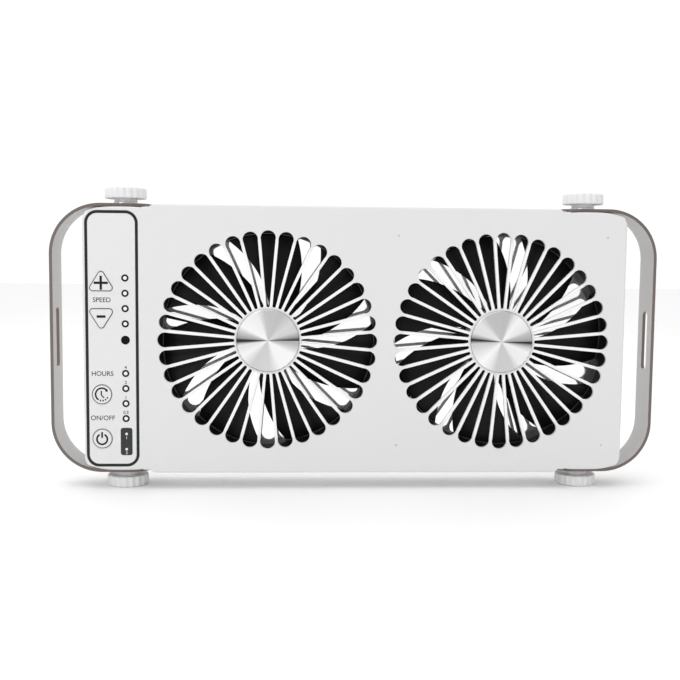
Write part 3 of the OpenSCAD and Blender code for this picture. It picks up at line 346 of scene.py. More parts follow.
milky = Finish("milky_light_guide", (0.86, 0.87, 0.85), 0.25, Subsurface_Weight=0.3,
               Subsurface_Radius=(0.001, 0.001, 0.001))
milky.shades(0.03, 0.002).gloss(0.05, 0.001)
milky.relief(milky.noise(0.0006), 0.000005, rounding=0.0002)
dress(milky, "light_pipes", "indicator_leds")
panel_finishes = (black, bezels, smoked, tinted_window, milky)
print("finishes of the panel:", [made.material.name for made in panel_finishes])

# %% [markdown]
# ## Spun metal caps
# Each cap was turned on a lathe, so it has hair-fine rings, and its grain throws the light into
# bright and dark sectors that all meet in its middle. These sectors are a painted reflection: the
# colour is a ramp over the angle, once round the cap from its right-hand side, with painted streaks
# over the angle, and fine rings add the turning marks. The two caps are seen from different angles,
# so their painted sectors differ a little.

# %% Cap finish
# Greys of a painted reflection, by the share of a turn round each cap.
REFLECTION_GREY_OF_TURN = {
    "left": [(0.0, 0.05), (0.008, 0.06), (0.02, 0.34), (0.05, 0.66), (0.10, 0.72), (0.17, 0.56),
             (0.27, 0.60), (0.31, 0.90), (0.42, 0.97), (0.45, 0.62), (0.485, 0.36), (0.495, 0.03),
             (0.507, 0.05), (0.525, 0.78), (0.59, 0.92), (0.66, 0.63), (0.76, 0.66), (0.82, 0.92),
             (0.92, 0.94), (0.965, 0.60), (0.99, 0.46)],
    "right": [(0.0, 0.05), (0.008, 0.40), (0.05, 0.58), (0.075, 0.86), (0.15, 0.98), (0.18, 0.82),
              (0.21, 0.56), (0.34, 0.58), (0.39, 0.84), (0.45, 0.80), (0.475, 0.40), (0.486, 0.03),
              (0.494, 0.05), (0.510, 0.62), (0.56, 0.78), (0.63, 0.98), (0.68, 0.84), (0.72, 0.62),
              (0.82, 0.64), (0.86, 0.88), (0.94, 0.92), (0.967, 0.66), (0.985, 0.30),
              (0.993, 0.03)]}
RINGS_PER_METRE, STREAKS = 9000, 140


def cap_metal(side):
    """Painted reflection: grey over the angle, times rings over the radius and streaks over the
    angle.
    """
    made = Finish(f"spun_metal_{side}", (0.8, 0.8, 0.8), 0.3, centre=(FAN_X[side], 0, MID_Z),
                  Metallic=1.0)
    x, _, z = made.axes()
    turns = (z.turn_of(x) / (2 * math.pi)).fract()
    reflection_ramp = turns.node("ShaderNodeValToRGB", turns)
    stops = reflection_ramp.socket.node.color_ramp.elements
    for _ in REFLECTION_GREY_OF_TURN[side][2:]:
        stops.new(1)
    for (place, grey), stop in zip(REFLECTION_GREY_OF_TURN[side], stops):
        stop.position, stop.color = place, (grey, grey, grey, 1)
    # The streaks over the angle are painted reflection too; the rings over the radius are turning
    # marks.
    hair, reflection_streak = [reflection_ramp.node("ShaderNodeTexNoise", W=place, Scale=1.0, Detail=2.0,
                              settings={"noise_dimensions": "1D"})
                    for place in (distance(x, z) * RINGS_PER_METRE, turns * STREAKS)]
    shade = (hair * 0.16 + 0.92) * (reflection_streak * 0.14 + 0.93)
    made.put(Base_Color=tinted(shade.clamp(), (0, 0, 0), reflection_ramp), Roughness=hair * 0.1 + 0.26)
    made.relief(hair, 0.000004, rounding=0.0003)
    return made


for side in SIDES:
    dress(cap_metal(side), f"cap_{side}")
print("cap greys:", {side: len(stops) for side, stops in REFLECTION_GREY_OF_TURN.items()})

# %% [markdown]
# ## Bracket metal
# The brackets are coated steel strip. Their broad faces are a satin grey. The narrow cut edges,
# which face the viewer, and the walls of the slots are a darker taupe: the coating's own colour on
# the cut edges, made darker as painted shade where the slot walls and the ears' edges lie in shade.
# They are found by their normals, which point along the depth, and on the two ears by normals that
# lie level.

# %% Brackets, studs and washers
EAR_Z = 0.0868
PIVOT_X = 0.1525

bracket_metal = Finish("bracket_satin", (0.47, 0.46, 0.45), 0.38, Metallic=0.35)
_, _, z = bracket_metal.axes()
coordinates = bracket_metal.tree.nodes.new("ShaderNodeTexCoord")
heading = Wire(bracket_metal.tree, coordinates.outputs["Normal"])
along_depth = abs(heading.node("ShaderNodeSeparateXYZ", heading, out=1)) > 0.7
level = abs(heading.node("ShaderNodeSeparateXYZ", heading, out=2)) < 0.5
on_ear = abs(z - MID_Z) > EAR_Z
on_edge = (along_depth + level * on_ear).clamp()
speckle = bracket_metal.noise(0.0009, 3.0)
face_grey = tinted(speckle, (0.44, 0.43, 0.42), (0.52, 0.51, 0.50))
# Taupe of the cut edges, darkened with painted shade for the shaded slot walls and ear edges.
edge_taupe_and_shade = tinted(speckle, (0.145, 0.118, 0.108), (0.19, 0.158, 0.146))
bracket_metal.put(Base_Color=tinted(on_edge, face_grey, edge_taupe_and_shade),
                  Roughness=speckle * 0.14 + 0.32)
bracket_metal.relief(speckle, 0.000012, rounding=0.00035)
dress(bracket_metal, "bracket_left", "bracket_right")


def pivot_finish(name, colour, roughness, height_of, depth):
    """Metal with a relief about the pivots: X is folded over, so one centre serves both ends."""
    made = Finish(name, colour, roughness, Metallic=1.0)
    x, y, z = made.axes()
    x = abs(x) - PIVOT_X
    made.shades(0.06, 0.002).gloss(0.06, 0.0015)
    return made.relief(height_of(distance(x, y), y.turn_of(x), z), depth, rounding=0.0001)


THREAD_PITCH, LATHE_MARKS, KNURLS = 0.0008, 14000, 24
thread = pivot_finish("stud_thread", (0.62, 0.62, 0.64), 0.3,
                      lambda radius, angle, z: (z * (2 * math.pi / THREAD_PITCH) + angle).sin(),
                      0.00022)
dress(thread, *[f"stud_{corner}" for corner in CORNERS])
turned = pivot_finish("washer_zinc", (0.66, 0.67, 0.69), 0.28,
                      lambda radius, angle, z: (radius * LATHE_MARKS).sin(), 0.00001)
dress(turned, *[f"washer_{corner}" for corner in CORNERS])
knurl = pivot_finish("insert_brass", (0.72, 0.52, 0.22), 0.3,
                     lambda radius, angle, z: (angle * KNURLS).sin(), 0.00015)
dress(knurl, "threaded_inserts")

nylon = Finish("slip_nylon", (0.80, 0.80, 0.77), 0.45, Subsurface_Weight=0.2,
               Subsurface_Radius=(0.001, 0.001, 0.001))
nylon.shades(0.02, 0.002).gloss(0.05, 0.001)
nylon.relief(nylon.noise(0.0004), 0.000005, rounding=0.0001)
dress(nylon, "slip_washers")
print("pivot finishes:", thread.material.name, turned.material.name, knurl.material.name)

# %% [markdown]
# ## Screws
# Screw heads are zinc-plated steel with a faint brushed look, and the case screws are blackened.

# %% Screws
def plain_metal(name, colour, roughness, *nodes):
    """Plated metal whose tone and gloss wander a little over a millimetre or two."""
    made = Finish(name, colour, roughness, Metallic=1.0)
    made.shades(0.08, 0.0015).gloss(0.07, 0.001)
    made.relief(made.noise(0.0003), 0.000004, rounding=0.0002)
    return dress(made, *nodes)


plain_metal("zinc_screws", (0.64, 0.65, 0.67), 0.3, "board_screws", "fan_screws")
plain_metal("black_screws", (0.06, 0.06, 0.065), 0.35, "case_screws")
plain_metal("spring_clips", (0.30, 0.30, 0.32), 0.35, "shaft_clip_left", "shaft_clip_right")
plain_metal("polished_shafts", (0.74, 0.74, 0.76), 0.15, "shaft_left", "shaft_right")
print("screws, clips and shafts are dressed")

# %% [markdown]
# ## Motors
# Behind each cap a small brushless motor is hidden: bearings with dark seals, a stator of stacked
# iron sheets, copper windings whose turns show as fine rings, and a ring of ferrite.

# %% Motor finishes
def motor_finish(name, side, colour, roughness, **fixed):
    """A finish centred on a fan's axis, with the place along the axis and the radius."""
    made = Finish(f"{name}_{side}", colour, roughness, centre=(FAN_X[side], 0, MID_Z), **fixed)
    x, y, z = made.axes()
    return made, y, distance(x, z)


SHEET, WIRE_TURN = 0.0005, 0.00045
for side in SIDES:
    seal, _, radius = motor_finish("bearing", side, (0.7, 0.7, 0.72), 0.22)
    in_seal = radius.rise(0.00215, 0.0023) * (1 - radius.rise(0.0032, 0.00335))
    seal.put(Base_Color=tinted(in_seal, (0.70, 0.70, 0.72), (0.03, 0.03, 0.03)),
             Metallic=1 - in_seal, Roughness=in_seal * 0.25 + seal.noise(0.001) * 0.1 + 0.17)
    seal.relief((radius * 9000).sin() + seal.noise(0.0005), 0.000004, rounding=0.0001)
    dress(seal, f"bearings_{side}")

    core, y, _ = motor_finish("core", side, (0.32, 0.32, 0.34), 0.42, Metallic=1.0)
    sheet = (y * (2 * math.pi / SHEET)).sin()
    core_tone = sheet * 0.3 + core.noise(0.002) * 0.6
    core.put(Base_Color=tinted(core_tone, (0.22, 0.22, 0.24), (0.40, 0.40, 0.43)),
             Roughness=core.noise(0.001) * 0.2 + 0.32)
    core.relief(sheet, 0.00004, rounding=0.0001)
    dress(core, f"stator_core_{side}")

    copper, _, radius = motor_finish("copper", side, (0.62, 0.25, 0.10), 0.28, Metallic=1.0)
    # The colour darkens where neighbouring turns meet and brightens on each crest: painted shade in
    # the creases and a painted highlight on the crests.
    turn = abs((radius * (math.pi / WIRE_TURN)).sin())
    copper.put(Base_Color=tinted(turn, (0.16, 0.05, 0.02), (0.74, 0.32, 0.13)),
               Roughness=copper.noise(0.001) * 0.12 + 0.22)
    copper.relief(turn, 0.00012, rounding=0.0004)
    dress(copper, f"windings_{side}")

    magnet, _, _ = motor_finish("ferrite", side, (0.055, 0.052, 0.052), 0.5, Metallic=0.3)
    magnet.shades(0.2, 0.003).gloss(0.1, 0.002)
    magnet.relief(magnet.noise(0.0005, 4.0), 0.00002, rounding=0.0002)
    dress(magnet, f"magnet_ring_{side}")
print("motor finishes for", len(SIDES), "fans")

# %% [markdown]
# ## Circuit boards
# A board is green solder mask over copper tracks. The tracks are thin lines, each shown only in
# some cells of a coarse random grid, and the pads are a grid of tinned dots with the same mask.

# %% Boards and what sits on them
TRACK_PITCH, PAD_PITCH = 0.00127, 0.00254


def board_finish(name, centre, *nodes):
    """Lines across and along, masked by cells of random value, under a glossy green film."""
    made = Finish(name, (0.03, 0.14, 0.07), 0.3, centre=centre, Coat_Weight=0.4,
                  Coat_Roughness=0.15)
    x, _, z = made.axes()
    cell = made.place.node("ShaderNodeTexVoronoi", Vector=made.place, Scale=150.0, out=1,
                           settings={"feature": "F1", "distance": "CHEBYCHEV"})
    mask = cell.node("ShaderNodeSeparateColor", cell)
    across = ((x / TRACK_PITCH).fract() < 0.22) * (mask > 0.45)
    along = ((z / TRACK_PITCH).fract() < 0.22) * (mask < 0.55)
    track = (across + along).clamp()
    from_pad = distance((x / PAD_PITCH).fract() - 0.5, (z / PAD_PITCH).fract() - 0.5)
    pad = (from_pad < 0.2) * (made.noise(0.006) > 0.52)
    green = tinted(track, (0.022, 0.11, 0.055), (0.045, 0.20, 0.095))
    made.put(Base_Color=tinted(pad, green, (0.62, 0.62, 0.60)), Metallic=pad,
             Roughness=pad * 0.08 + made.noise(0.002) * 0.08 + 0.24)
    made.relief(track + pad, 0.00003, rounding=0.0001)
    return dress(made, *nodes)


board_finish("control_mask", (-0.1585, 0, MID_Z), "control_board")
for side in SIDES:
    board_finish(f"motor_mask_{side}", (FAN_X[side], 0, MID_Z), f"motor_board_{side}")

BOARD_FRONT_Y, SOCKET_X, SOCKET_Z = -0.0075, -0.1609, -0.060
switch = Finish("switch_body", (0.5, 0.5, 0.5), 0.35)
_, y, _ = switch.axes()
is_body = y.rise(BOARD_FRONT_Y - 0.0026, BOARD_FRONT_Y - 0.0025)
is_stem = 1 - y.rise(BOARD_FRONT_Y - 0.0030, BOARD_FRONT_Y - 0.0029)
steel_top = tinted(is_stem, (0.62, 0.62, 0.64), (0.10, 0.035, 0.02))
switch.put(Base_Color=tinted(is_body, steel_top, (0.02, 0.02, 0.02)),
           Metallic=(1 - is_body) * (1 - is_stem), Roughness=switch.noise(0.001) * 0.15 + 0.28)
switch.relief(switch.noise(0.0004), 0.000006, rounding=0.0001)
dress(switch, "key_switches")

epoxy = Finish("chip_epoxy", (0.025, 0.025, 0.027), 0.45)
epoxy.shades(0.2, 0.001).gloss(0.08, 0.001)
epoxy.relief(epoxy.noise(0.0002), 0.00001, rounding=0.0002)
dress(epoxy, "board_chips")

ivory = Finish("connector_ivory", (0.76, 0.70, 0.56), 0.4)
ivory.shades(0.03, 0.002).gloss(0.06, 0.001)
ivory.relief(ivory.noise(0.0004), 0.000006, rounding=0.0002)
dress(ivory, "board_connectors")

socket = Finish("socket_black", (0.02, 0.02, 0.022), 0.35, centre=(SOCKET_X, 0, MID_Z + SOCKET_Z))
x, _, z = socket.axes()
is_pin = distance(x, z) < 0.0012
socket.put(Base_Color=tinted(is_pin, (0.02, 0.02, 0.022), (0.75, 0.6, 0.32)), Metallic=is_pin,
           Roughness=socket.noise(0.001) * 0.1 + 0.28)
socket.relief(socket.noise(0.0005), 0.000006, rounding=0.0002)
dress(socket, "power_socket")
board_finishes = (switch, epoxy, ivory, socket)
print("finishes of the board's parts:", [made.material.name for made in board_finishes])

# %% [markdown]
# ## New pieces from surfaces
# A turned or swept shape is a grid of points: one index runs along the section, the other round
# the axis or along the path. Two helpers make the faces and the object. Doubled points, at seams
# and poles, are welded, and the normals are turned outwards.

# %% Grid faces and new objects
def grid_faces(rows, columns):
    """Four-sided faces between neighbours, where the last column joins the first."""
    i, j = np.meshgrid(np.arange(rows - 1), np.arange(columns), indexing="ij")
    k = (j + 1) % columns
    near, far = i * columns, (i + 1) * columns
    return np.stack([near + j, near + k, far + k, far + j], axis=-1).reshape(-1, 4)


def new_piece(name, shells, finish, body, sharp_angle=35):
    """One object made of shells, each a pair of points and faces, that rides on a body."""
    start = np.cumsum([0] + [len(np.reshape(p, (-1, 3))) for p, _ in shells])
    points = np.vstack([np.reshape(p, (-1, 3)) for p, _ in shells])
    faces = np.vstack([np.asarray(f) + first for (_, f), first in zip(shells, start)]).tolist()
    mesh = bpy.data.meshes.new(name)
    mesh.from_pydata(points.tolist(), [], faces)
    work = bmesh.new()
    work.from_mesh(mesh)
    bmesh.ops.remove_doubles(work, verts=work.verts, dist=1e-7)
    bmesh.ops.recalc_face_normals(work, faces=work.faces)
    work.to_mesh(mesh)
    work.free()
    mesh.shade_smooth()
    mesh.set_sharp_from_angle(angle=math.radians(sharp_angle))
    mesh.materials.append(finish.material)
    made = bpy.data.objects.new(name, mesh)
    scene.collection.objects.link(made)
    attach(made, body)
    return made


def corner_arc(centre, radius, first, last, count=6):
    """Points of an arc by its two angles in degrees."""
    angles = np.radians(np.linspace(first, last, count))
    return [(centre[0] + radius * math.cos(a), centre[1] + radius * math.sin(a)) for a in angles]


print("faces of a 3 by 4 grid:", len(grid_faces(3, 4)))

# %% [markdown]
# ## Thumb knobs
# Each knob is a turned profile whose grip has eighteen soft flutes. The flute depth is a smooth
# pulse of the angle, and it fades towards the flat faces so that their rims stay clean.

# %% Fluted knobs
MM = 0.001
KNOB = {"collar_z": 89.1, "grip_z": 91.5, "end_z": 98.5, "collar_r": 7.5, "grip_r": 13.5,
        "flat_r": 10.8, "bore_r": 2.5, "bore_end_z": 96.0}
FLUTES, FLUTE_DEPTH, STEPS_PER_FLUTE = 18, 0.95, 14


def knob_shell(side, up):
    """Radius = profile minus flute depth times weight, where the flute is a power of a cosine."""
    k = KNOB
    profile = ([(0, k["bore_end_z"]), (k["bore_r"], k["bore_end_z"]), (k["bore_r"], k["collar_z"])]
               + corner_arc((k["collar_r"] - 0.3, k["collar_z"] + 0.3), 0.3, -90, 0, 3)
               + corner_arc((k["collar_r"] + 0.5, k["grip_z"] - 0.5), 0.5, 180, 90, 4)
               + [(10.5, k["grip_z"])]
               + corner_arc((k["grip_r"] - 0.8, k["grip_z"] + 0.8), 0.8, -90, 0, 6)
               + [(k["grip_r"], 94.0), (k["grip_r"], 96.0)]
               + corner_arc((k["grip_r"] - 1.2, k["end_z"] - 1.2), 1.2, 0, 90, 8)
               + [(k["flat_r"], k["end_z"])] + corner_arc((10.2, k["end_z"] - 0.6), 0.6, 90, 120, 3)
               + [(8.5, k["end_z"] - 0.30), (4, k["end_z"] - 0.34), (0, k["end_z"] - 0.35)])
    radius, height = np.array(profile).T
    turn = np.linspace(0, 2 * math.pi, FLUTES * STEPS_PER_FLUTE, endpoint=False)
    pulse = (0.5 + 0.5 * np.cos(turn * FLUTES)) ** 1.6
    weight = np.clip((radius - k["flat_r"]) / 1.9, 0, 1) ** 1.5
    r = radius[:, None] - FLUTE_DEPTH * weight[:, None] * pulse[None, :]
    z = np.repeat(height[:, None], len(turn), axis=1)
    points = np.stack([side * PIVOT_X + r * np.cos(turn) * MM, r * np.sin(turn) * MM,
                       MID_Z + up * z * MM], -1)
    return points, grid_faces(len(radius), len(turn))


for corner in CORNERS:
    up = 1 if corner.startswith("top") else -1
    side = -1 if corner.endswith("left") else 1
    knob = new_piece(f"thumb_knob_{corner}", [knob_shell(side, up)], knob_white,
                     f"clamp_knob_{corner}")
    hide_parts(f"knob_{corner}")
    print(knob.name, len(knob.data.polygons), "faces")

# %% [markdown]
# ## Impellers
# An impeller is a moulded cup with seven twisted blades. A blade is a grid too: one index runs
# from root to tip, the other once round the blade's section, so its edges come out rounded.

# %% Impellers
BLADES = 7
BLADE = {"root_r": 20.1, "tip_r": 69.8, "thickness": 1.8, "sweep": 26, "bow": 0.12,
         "rounding": 0.015}
HUB = {"front_y": -13.2, "depth": 17.8, "radius": 21.0, "wall": 1.8, "boss_r": 3.6, "boss_y": -9.8,
       "bore_r": 1.51}
PHASE = {"left": -46.6, "right": -28.3}


def blade_shell(x_mid, turn_deg):
    """A skin half a thickness off a mid surface, with rounded edges and a rounded tip.

    With a from 0 at the root to 1 at the tip and b from 0 at the front edge to 1 at the back edge,
    the angle is half the gap, plus the span times (1 - b), plus the sweep times (a - 0.57). The
    place along the axis is the middle plus depth times (b - 1/2), less the bow times depth times
    the sine of half a turn times b.
    """
    a = (1 - np.cos(np.linspace(0, math.pi, 30))) / 2
    half = (1 - np.cos(np.linspace(0, math.pi, 22))) / 2
    b = np.concatenate([half, half[-2:0:-1]])
    face = np.concatenate([-np.ones(len(half)), np.ones(len(half) - 2)])
    a, b, face = a[:, None], b[None, :], face[None, :]
    r = BLADE["root_r"] + (BLADE["tip_r"] - BLADE["root_r"]) * a
    gap = 10 + 3.5 * np.minimum(1, 2 * a)
    angle = gap / 2 + (360 / BLADES - gap) * (1 - b) + BLADE["sweep"] * (a - 0.57)
    depth = HUB["depth"] * (0.9 - 0.3 * a) - BLADE["thickness"]
    bow = BLADE["bow"] * depth * np.sin(math.pi * b)
    middle = HUB["front_y"] + HUB["depth"] / 2 + depth * (b - 0.5) - bow
    section = np.sin(math.pi * b) ** 0.35 * (0.4 + 0.6 * np.sin(math.pi * (0.1 + 0.8 * b)))
    tip = np.sqrt(np.clip(1 - np.clip((a - 1) / BLADE["rounding"] + 1, 0, 1) ** 2, 0, 1))
    thickness = BLADE["thickness"] * (1 - 0.35 * a) * section * (tip * np.clip(a / 0.01, 0, 1))
    y = middle + face * thickness / 2
    t = np.radians(angle + turn_deg)
    points = np.stack(np.broadcast_arrays(x_mid + r * np.cos(t) * MM, y * MM,
                                          MID_Z + r * np.sin(t) * MM), -1)
    return points, grid_faces(points.shape[0], points.shape[1])


def turned_y(profile, x_mid, count=144):
    """A profile of radius and depth, in millimetres, turned about a fan's axis."""
    radius, depth = np.array(profile, dtype=float).T
    turn = np.linspace(0, 2 * math.pi, count, endpoint=False)
    points = np.stack([x_mid + radius[:, None] * np.cos(turn) * MM,
                       np.repeat(depth[:, None], count, axis=1) * MM,
                       MID_Z + radius[:, None] * np.sin(turn) * MM], -1)
    return points, grid_faces(len(radius), count)


def hub_profile():
    """The cup's outside from its middle round the rim, then its inside and the bored boss."""
    y0, y1, r, t = HUB["front_y"], HUB["front_y"] + HUB["depth"], HUB["radius"], HUB["wall"]
    return ([(0, y0)] + corner_arc((r - 1.2, y0 + 1.2), 1.2, -90, 0, 7)
            + corner_arc((r - 0.3, y1 - 0.3), 0.3, 0, 90, 3)
            + corner_arc((r - t + 0.3, y1 - 0.3), 0.3, 90, 180, 3)
            + corner_arc((r - t - 0.8, y0 + t + 0.8), 0.8, 0, -90, 5)
            + corner_arc((HUB["boss_r"] + 0.6, y0 + t + 0.6), 0.6, 270, 180, 4)
            + [(HUB["boss_r"], HUB["boss_y"]), (HUB["bore_r"], HUB["boss_y"]),
               (HUB["bore_r"], y0 + 0.6), (0, y0 + 0.6)])


for side in SIDES:
    blades = [blade_shell(FAN_X[side], PHASE[side] + i * 360 / BLADES) for i in range(BLADES)]
    finish = fan_plastic(f"impeller_black_{side}", side, (0.0045, 0.0045, 0.005), 0.36, 0.004)
    shells = [turned_y(hub_profile(), FAN_X[side])] + blades
    impeller = new_piece(f"moulded_impeller_{side}", shells, finish, f"rotor_{side}")
    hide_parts(f"impeller_{side}")
    print(impeller.name, len(impeller.data.polygons), "faces")

# %% [markdown]
# ## Wires
# Two cables leave the motors along a strut and run under the fans to the control board, and a
# short one joins the power socket to it. A cable is a circle swept along a route whose corners
# have been cut again and again, which turns them into smooth bends.

# %% Cables
def cut_corners(route, times=4):
    """Each inner corner gives way to points at a quarter and three quarters of its sides."""
    p = np.array(route, dtype=float)
    for _ in range(times):
        q = np.stack([0.75 * p[:-1] + 0.25 * p[1:], 0.25 * p[:-1] + 0.75 * p[1:]], axis=1)
        p = np.vstack([p[:1], q.reshape(-1, 3)[1:-1], p[-1:]])
    return p


def unit(v):
    return v / np.linalg.norm(v, axis=-1, keepdims=True)


def cable_shell(route, radius, count=16):
    """A circle carried along the path: its start is turned with the path, never about it."""
    p = cut_corners(route)
    ahead = unit(np.gradient(p, axis=0))
    side = np.empty_like(p)
    side[0] = unit(np.cross(ahead[0], (0.3, 0.9, 0.2)))
    for i in range(1, len(p)):
        side[i] = unit(side[i - 1] - ahead[i] * (side[i - 1] @ ahead[i]))
    across = np.cross(ahead, side)
    turn = np.linspace(0, 2 * math.pi, count, endpoint=False)[None, :, None]
    ring = p[:, None] + radius * (np.cos(turn) * side[:, None] + np.sin(turn) * across[:, None])
    ends = [np.repeat(p[i][None, None], count, axis=1) for i in (0, -1)]
    grid = np.concatenate([ends[0], ring, ends[1]])
    return grid * MM + np.array([0, 0, MID_Z]), grid_faces(grid.shape[0], count)


STRUT = math.radians(-72)
WIRE = {"y": 12.7, "z": -76.6, "step": 2.9, "hole": 16.6, "start_y": 6.9, "turn_x": -138.0,
        "plug_x": -148.0, "plug_y": -2.9, "radius": 1.2}


def fan_route(x_mid, lane_y, plug_x, plug_z):
    """From the motor's base along the strut's back, down to the case's floor, up to a plug."""
    w = WIRE
    along = lambda r, y: (x_mid + r * math.cos(STRUT), y, r * math.sin(STRUT))
    leave = w["z"] / math.sin(STRUT)
    foot = x_mid + leave * math.cos(STRUT)
    return [along(w["hole"], w["start_y"]), along(w["hole"], w["y"]), along(w["hole"] + 8, w["y"]),
            along(leave - 8, w["y"]), (foot - 4, w["y"], w["z"]), (foot - 14, w["y"], w["z"]),
            (foot - 28, lane_y, w["z"]), (w["turn_x"] + 8, lane_y, w["z"]),
            (w["turn_x"], lane_y, w["z"] + 2), (w["turn_x"], w["plug_y"], plug_z),
            (w["turn_x"] - 2, w["plug_y"], plug_z), (plug_x + 4.02, w["plug_y"], plug_z)]


cable = Finish("cable_jacket", (0.03, 0.03, 0.032), 0.42)
cable.shades(0.2, 0.004).gloss(0.08, 0.003)
cable.relief(cable.noise(0.001), 0.00001)
routes = [fan_route(FAN_X["right"] / MM, WIRE["y"] - WIRE["step"], WIRE["plug_x"], -61.0),
          fan_route(FAN_X["left"] / MM, WIRE["y"], WIRE["plug_x"], -49.0),
          [(-160.9, 4.78, -60), (-160.9, 1.8, -60), (-160.9, 1.3, -54), (-162.5, -2.9, -49.5),
           (-162.5, -2.9, -46.52)]]
shells = [cable_shell(route, WIRE["radius"]) for route in routes]
loom = new_piece("cable_loom", shells, cable, "case")
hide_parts("wiring_loom")
print(loom.name, len(loom.data.polygons), "faces")

# %% [markdown]
# ## Print on the control strip
# Symbols, key outlines and plain words are printed in dark grey ink, a few hundredths of a
# millimetre thick. A symbol is made of strokes: a path in X and Z with a width, pressed on a
# surface. Places are in millimetres from the middle of the case.

# %% Ink, strokes and words
ink = Finish("printed_ink", (0.010, 0.010, 0.011), 0.45, Specular_IOR_Level=0.2)
ink.shades(0.25, 0.002).gloss(0.08, 0.001)
ink.relief(ink.noise(0.0003), 0.000004)
outline_ink = Finish("outline_ink", (0.060, 0.060, 0.062), 0.45, Specular_IOR_Level=0.3)
outline_ink.shades(0.2, 0.002).gloss(0.08, 0.001)
outline_ink.relief(outline_ink.noise(0.0003), 0.000004)
INK, SUNK, LETTER_SPREAD, OUTLINE_WIDTH, OUTLINE_INSET = 0.05, 0.02, 0.02, 0.34, 0.22
STRIP_Y, KEY_Y = -18.0, -18.4
KEY_X, LAMP_X = -165.7, -150.4
ARROW = {"width": 14.7, "height": 12.7, "round": 2.1}


def stroke(path, width, surface_y, closed=False):
    """A flat bar along a path: each point moves half the width to both sides of the heading."""
    p = np.array(path, dtype=float)
    ahead = (np.roll(p, -1, 0) - np.roll(p, 1, 0)) if closed else np.gradient(p, axis=0)
    aside = unit(ahead)[:, ::-1] * (1, -1) * width / 2
    rings = []
    low, high = surface_y + SUNK, surface_y - INK
    for offset, y in ((aside, low), (aside, high), (-aside, high), (-aside, low)):
        q = p + offset
        rings.append(np.stack([q[:, 0], np.full(len(q), y), q[:, 1]], -1))
    grid = np.stack(rings, axis=1)
    if closed:
        grid = np.concatenate([grid, grid[:1]])
        return grid * MM + np.array([0, 0, MID_Z]), grid_faces(len(grid), 4)
    last = 4 * len(grid) - 4
    faces = np.vstack([grid_faces(len(grid), 4), [[0, 1, 2, 3]],
                       [[last, last + 1, last + 2, last + 3]]])
    return grid * MM + np.array([0, 0, MID_Z]), faces


def arc(cx, cz, radius, first, last, step=6):
    """Points of an arc, with angles in degrees from +X towards +Z."""
    angles = np.radians(np.linspace(first, last, max(3, int(abs(last - first) / step))))
    return np.stack([cx + radius * np.cos(angles), cz + radius * np.sin(angles)], -1)


def disc(cx, cz, radius, surface_y, step=15):
    """A round dot of ink, made as a closed stroke as wide as its own radius."""
    ring = arc(cx, cz, radius / 2, 0, 360 - step, step)
    return stroke(ring, radius, surface_y, closed=True)


def triangle_outline(cx, cz, up):
    """An arrow key's own rounded triangle, inset: three arcs about the key's corner centres."""
    half_w = ARROW["width"] / 2 - ARROW["round"]
    half_h = ARROW["height"] / 2 - ARROW["round"]
    lean = math.degrees(math.atan2(half_w, 2 * half_h))
    radius = ARROW["round"] - OUTLINE_INSET
    corners = [((half_w, -half_h), -90, lean), ((0, half_h), lean, 180 - lean),
               ((-half_w, -half_h), 180 - lean, 270)]
    points = np.vstack([arc(x, z, radius, first, last, 8) for (x, z), first, last in corners])
    return points * (1, 1 if up else -1) + (cx, cz)


def words(name, text, size, cx, cz, surface_y, finish, body):
    """Letters set flat, made into a mesh, then stood up to face the front at their place."""
    curve = bpy.data.curves.new(name, "FONT")
    curve.body, curve.size, curve.extrude = text, size * MM, INK * MM / 2
    curve.align_x, curve.align_y = "CENTER", "CENTER"
    curve.offset = LETTER_SPREAD * MM
    source = bpy.data.objects.new(name + "_curve", curve)
    scene.collection.objects.link(source)
    depsgraph = bpy.context.evaluated_depsgraph_get()
    mesh = bpy.data.meshes.new_from_object(source.evaluated_get(depsgraph))
    bpy.data.objects.remove(source)
    stand = Matrix(((1, 0, 0, cx * MM), (0, 0, -1, (surface_y - INK / 2) * MM),
                    (0, 1, 0, MID_Z + cz * MM), (0, 0, 0, 1)))
    mesh.transform(stand)
    mesh.name = name
    mesh.materials.clear()
    mesh.materials.append(finish.material)
    made = bpy.data.objects.new(name, mesh)
    scene.collection.objects.link(made)
    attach(made, body)
    return made


print("faces of a dot:", len(disc(0, 0, 1, 0)[1]))

# %% Symbols on the keys
PLUS_Z, MINUS_Z, TIMER_Z, POWER_Z = 36.7, 15.0, -35.6, -64.6
PLUS_ARM, MINUS_ARM = 4.5, 2.8


def line(x0, z0, x1, z1, width, lift=0.0):
    """A straight stroke on a key, from the key column's middle; a lift keeps crossings apart."""
    return stroke([(KEY_X + x0, z0), (KEY_X + x1, z1)], width, KEY_Y - lift)


new_piece("plus_sign", [line(-PLUS_ARM, PLUS_Z, PLUS_ARM, PLUS_Z, 1.55),
                        line(0, PLUS_Z - PLUS_ARM, 0, PLUS_Z + PLUS_ARM, 1.55, lift=0.004)],
          ink, "plus_key")
new_piece("minus_sign", [line(-MINUS_ARM, MINUS_Z, MINUS_ARM, MINUS_Z, 1.6)], ink, "minus_key")

clock_arcs = [arc(KEY_X, TIMER_Z, 4.1, first, last) for first, last in
              ((46, 238), (250, 262), (274, 286), (298, 310), (322, 334))]
new_piece("clock_symbol",
          [stroke(path, 1.05, KEY_Y) for path in clock_arcs]
          + [disc(KEY_X + 2.95, TIMER_Z + 2.55, 0.85, KEY_Y - 0.006),
             line(-0.4, TIMER_Z + 2.3, -0.4, TIMER_Z - 0.4, 0.8, lift=0.003),
             line(-0.5, TIMER_Z - 0.2, 1.3, TIMER_Z - 2.3, 0.8)],
          ink, "timer_key")
power = new_piece("power_symbol",
                  [stroke(arc(KEY_X - 0.2, POWER_Z - 0.4, 3.35, 117, 423), 1.15, KEY_Y),
                   line(-0.2, POWER_Z + 4.3, -0.2, POWER_Z + 0.5, 1.15)],
                  ink, "power_key")
print("faces of the power symbol:", len(power.data.polygons))

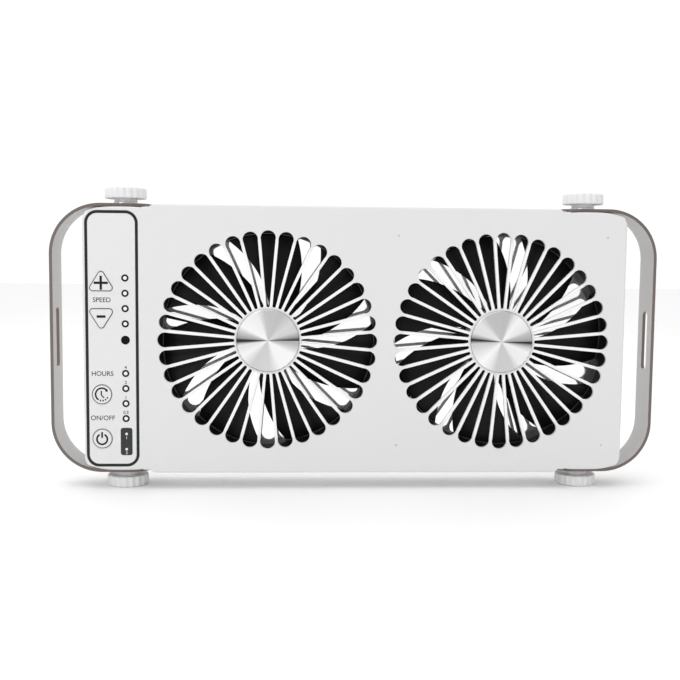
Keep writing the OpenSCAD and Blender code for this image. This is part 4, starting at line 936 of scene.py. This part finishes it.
# %% Outlines, words and figures
UP_KEY_Z, DOWN_KEY_Z, ROUND_KEY_R = 37.8, 13.8, 6.3
inset_r = ROUND_KEY_R - OUTLINE_INSET
outline_paths = {"plus_key": triangle_outline(KEY_X, UP_KEY_Z, True),
                 "minus_key": triangle_outline(KEY_X, DOWN_KEY_Z, False),
                 "timer_key": arc(KEY_X, TIMER_Z, inset_r, 0, 354),
                 "power_key": arc(KEY_X, POWER_Z, inset_r, 0, 354)}
for body, path in outline_paths.items():
    outline = stroke(path, OUTLINE_WIDTH, KEY_Y, closed=True)
    new_piece(f"{body}_outline", [outline], outline_ink, body)

WORD_X, WORD_SIZE, FIGURE_SIZE, MARK_SIZE = -165.3, 4.3, 2.9, 2.5
printed = [words(f"word_{name}", text, WORD_SIZE, WORD_X, z, STRIP_Y, ink, "case")
           for name, text, z in (("speed", "SPEED", 25.6), ("hours", "HOURS", -22.2),
                                 ("on_off", "ON/OFF", -51.2))]
TIMER_LAMP_Z, LAMP_PITCH, FIGURE_UP = -21.9, 9.85, 3.9
for k, figure in enumerate(("4", "2", "1", "0.5")):
    figure_z = TIMER_LAMP_Z - LAMP_PITCH * k + FIGURE_UP
    printed.append(words(f"figure_{k + 1}", figure, FIGURE_SIZE, LAMP_X, figure_z, STRIP_Y, ink,
                         "case"))
print("words and figures:", len(printed))

# %% Marks in the indicator window
WINDOW_X, WINDOW_Y, WINDOW_Z = -150.2, -18.05, -66.6
DOT_UP = 5.04
white_ink = Finish("white_ink", (0.78, 0.78, 0.78), 0.45)
white_ink.shades(0.05, 0.002).gloss(0.08, 0.001)
white_ink.relief(white_ink.noise(0.0003), 0.000004)
dots = new_piece("window_dots",
                 [disc(WINDOW_X, WINDOW_Z + s * DOT_UP, 0.85, WINDOW_Y) for s in (-1, 1)],
                 white_ink, "case")
marks = [words(name, text, MARK_SIZE, WINDOW_X, WINDOW_Z + up, WINDOW_Y, white_ink, "case")
         for name, text, up in (("mark_upper", "1", 2.5), ("mark_lower", "2", -7.5))]
print("window marks:", dots.name, len(marks))

# %% [markdown]
# ## End
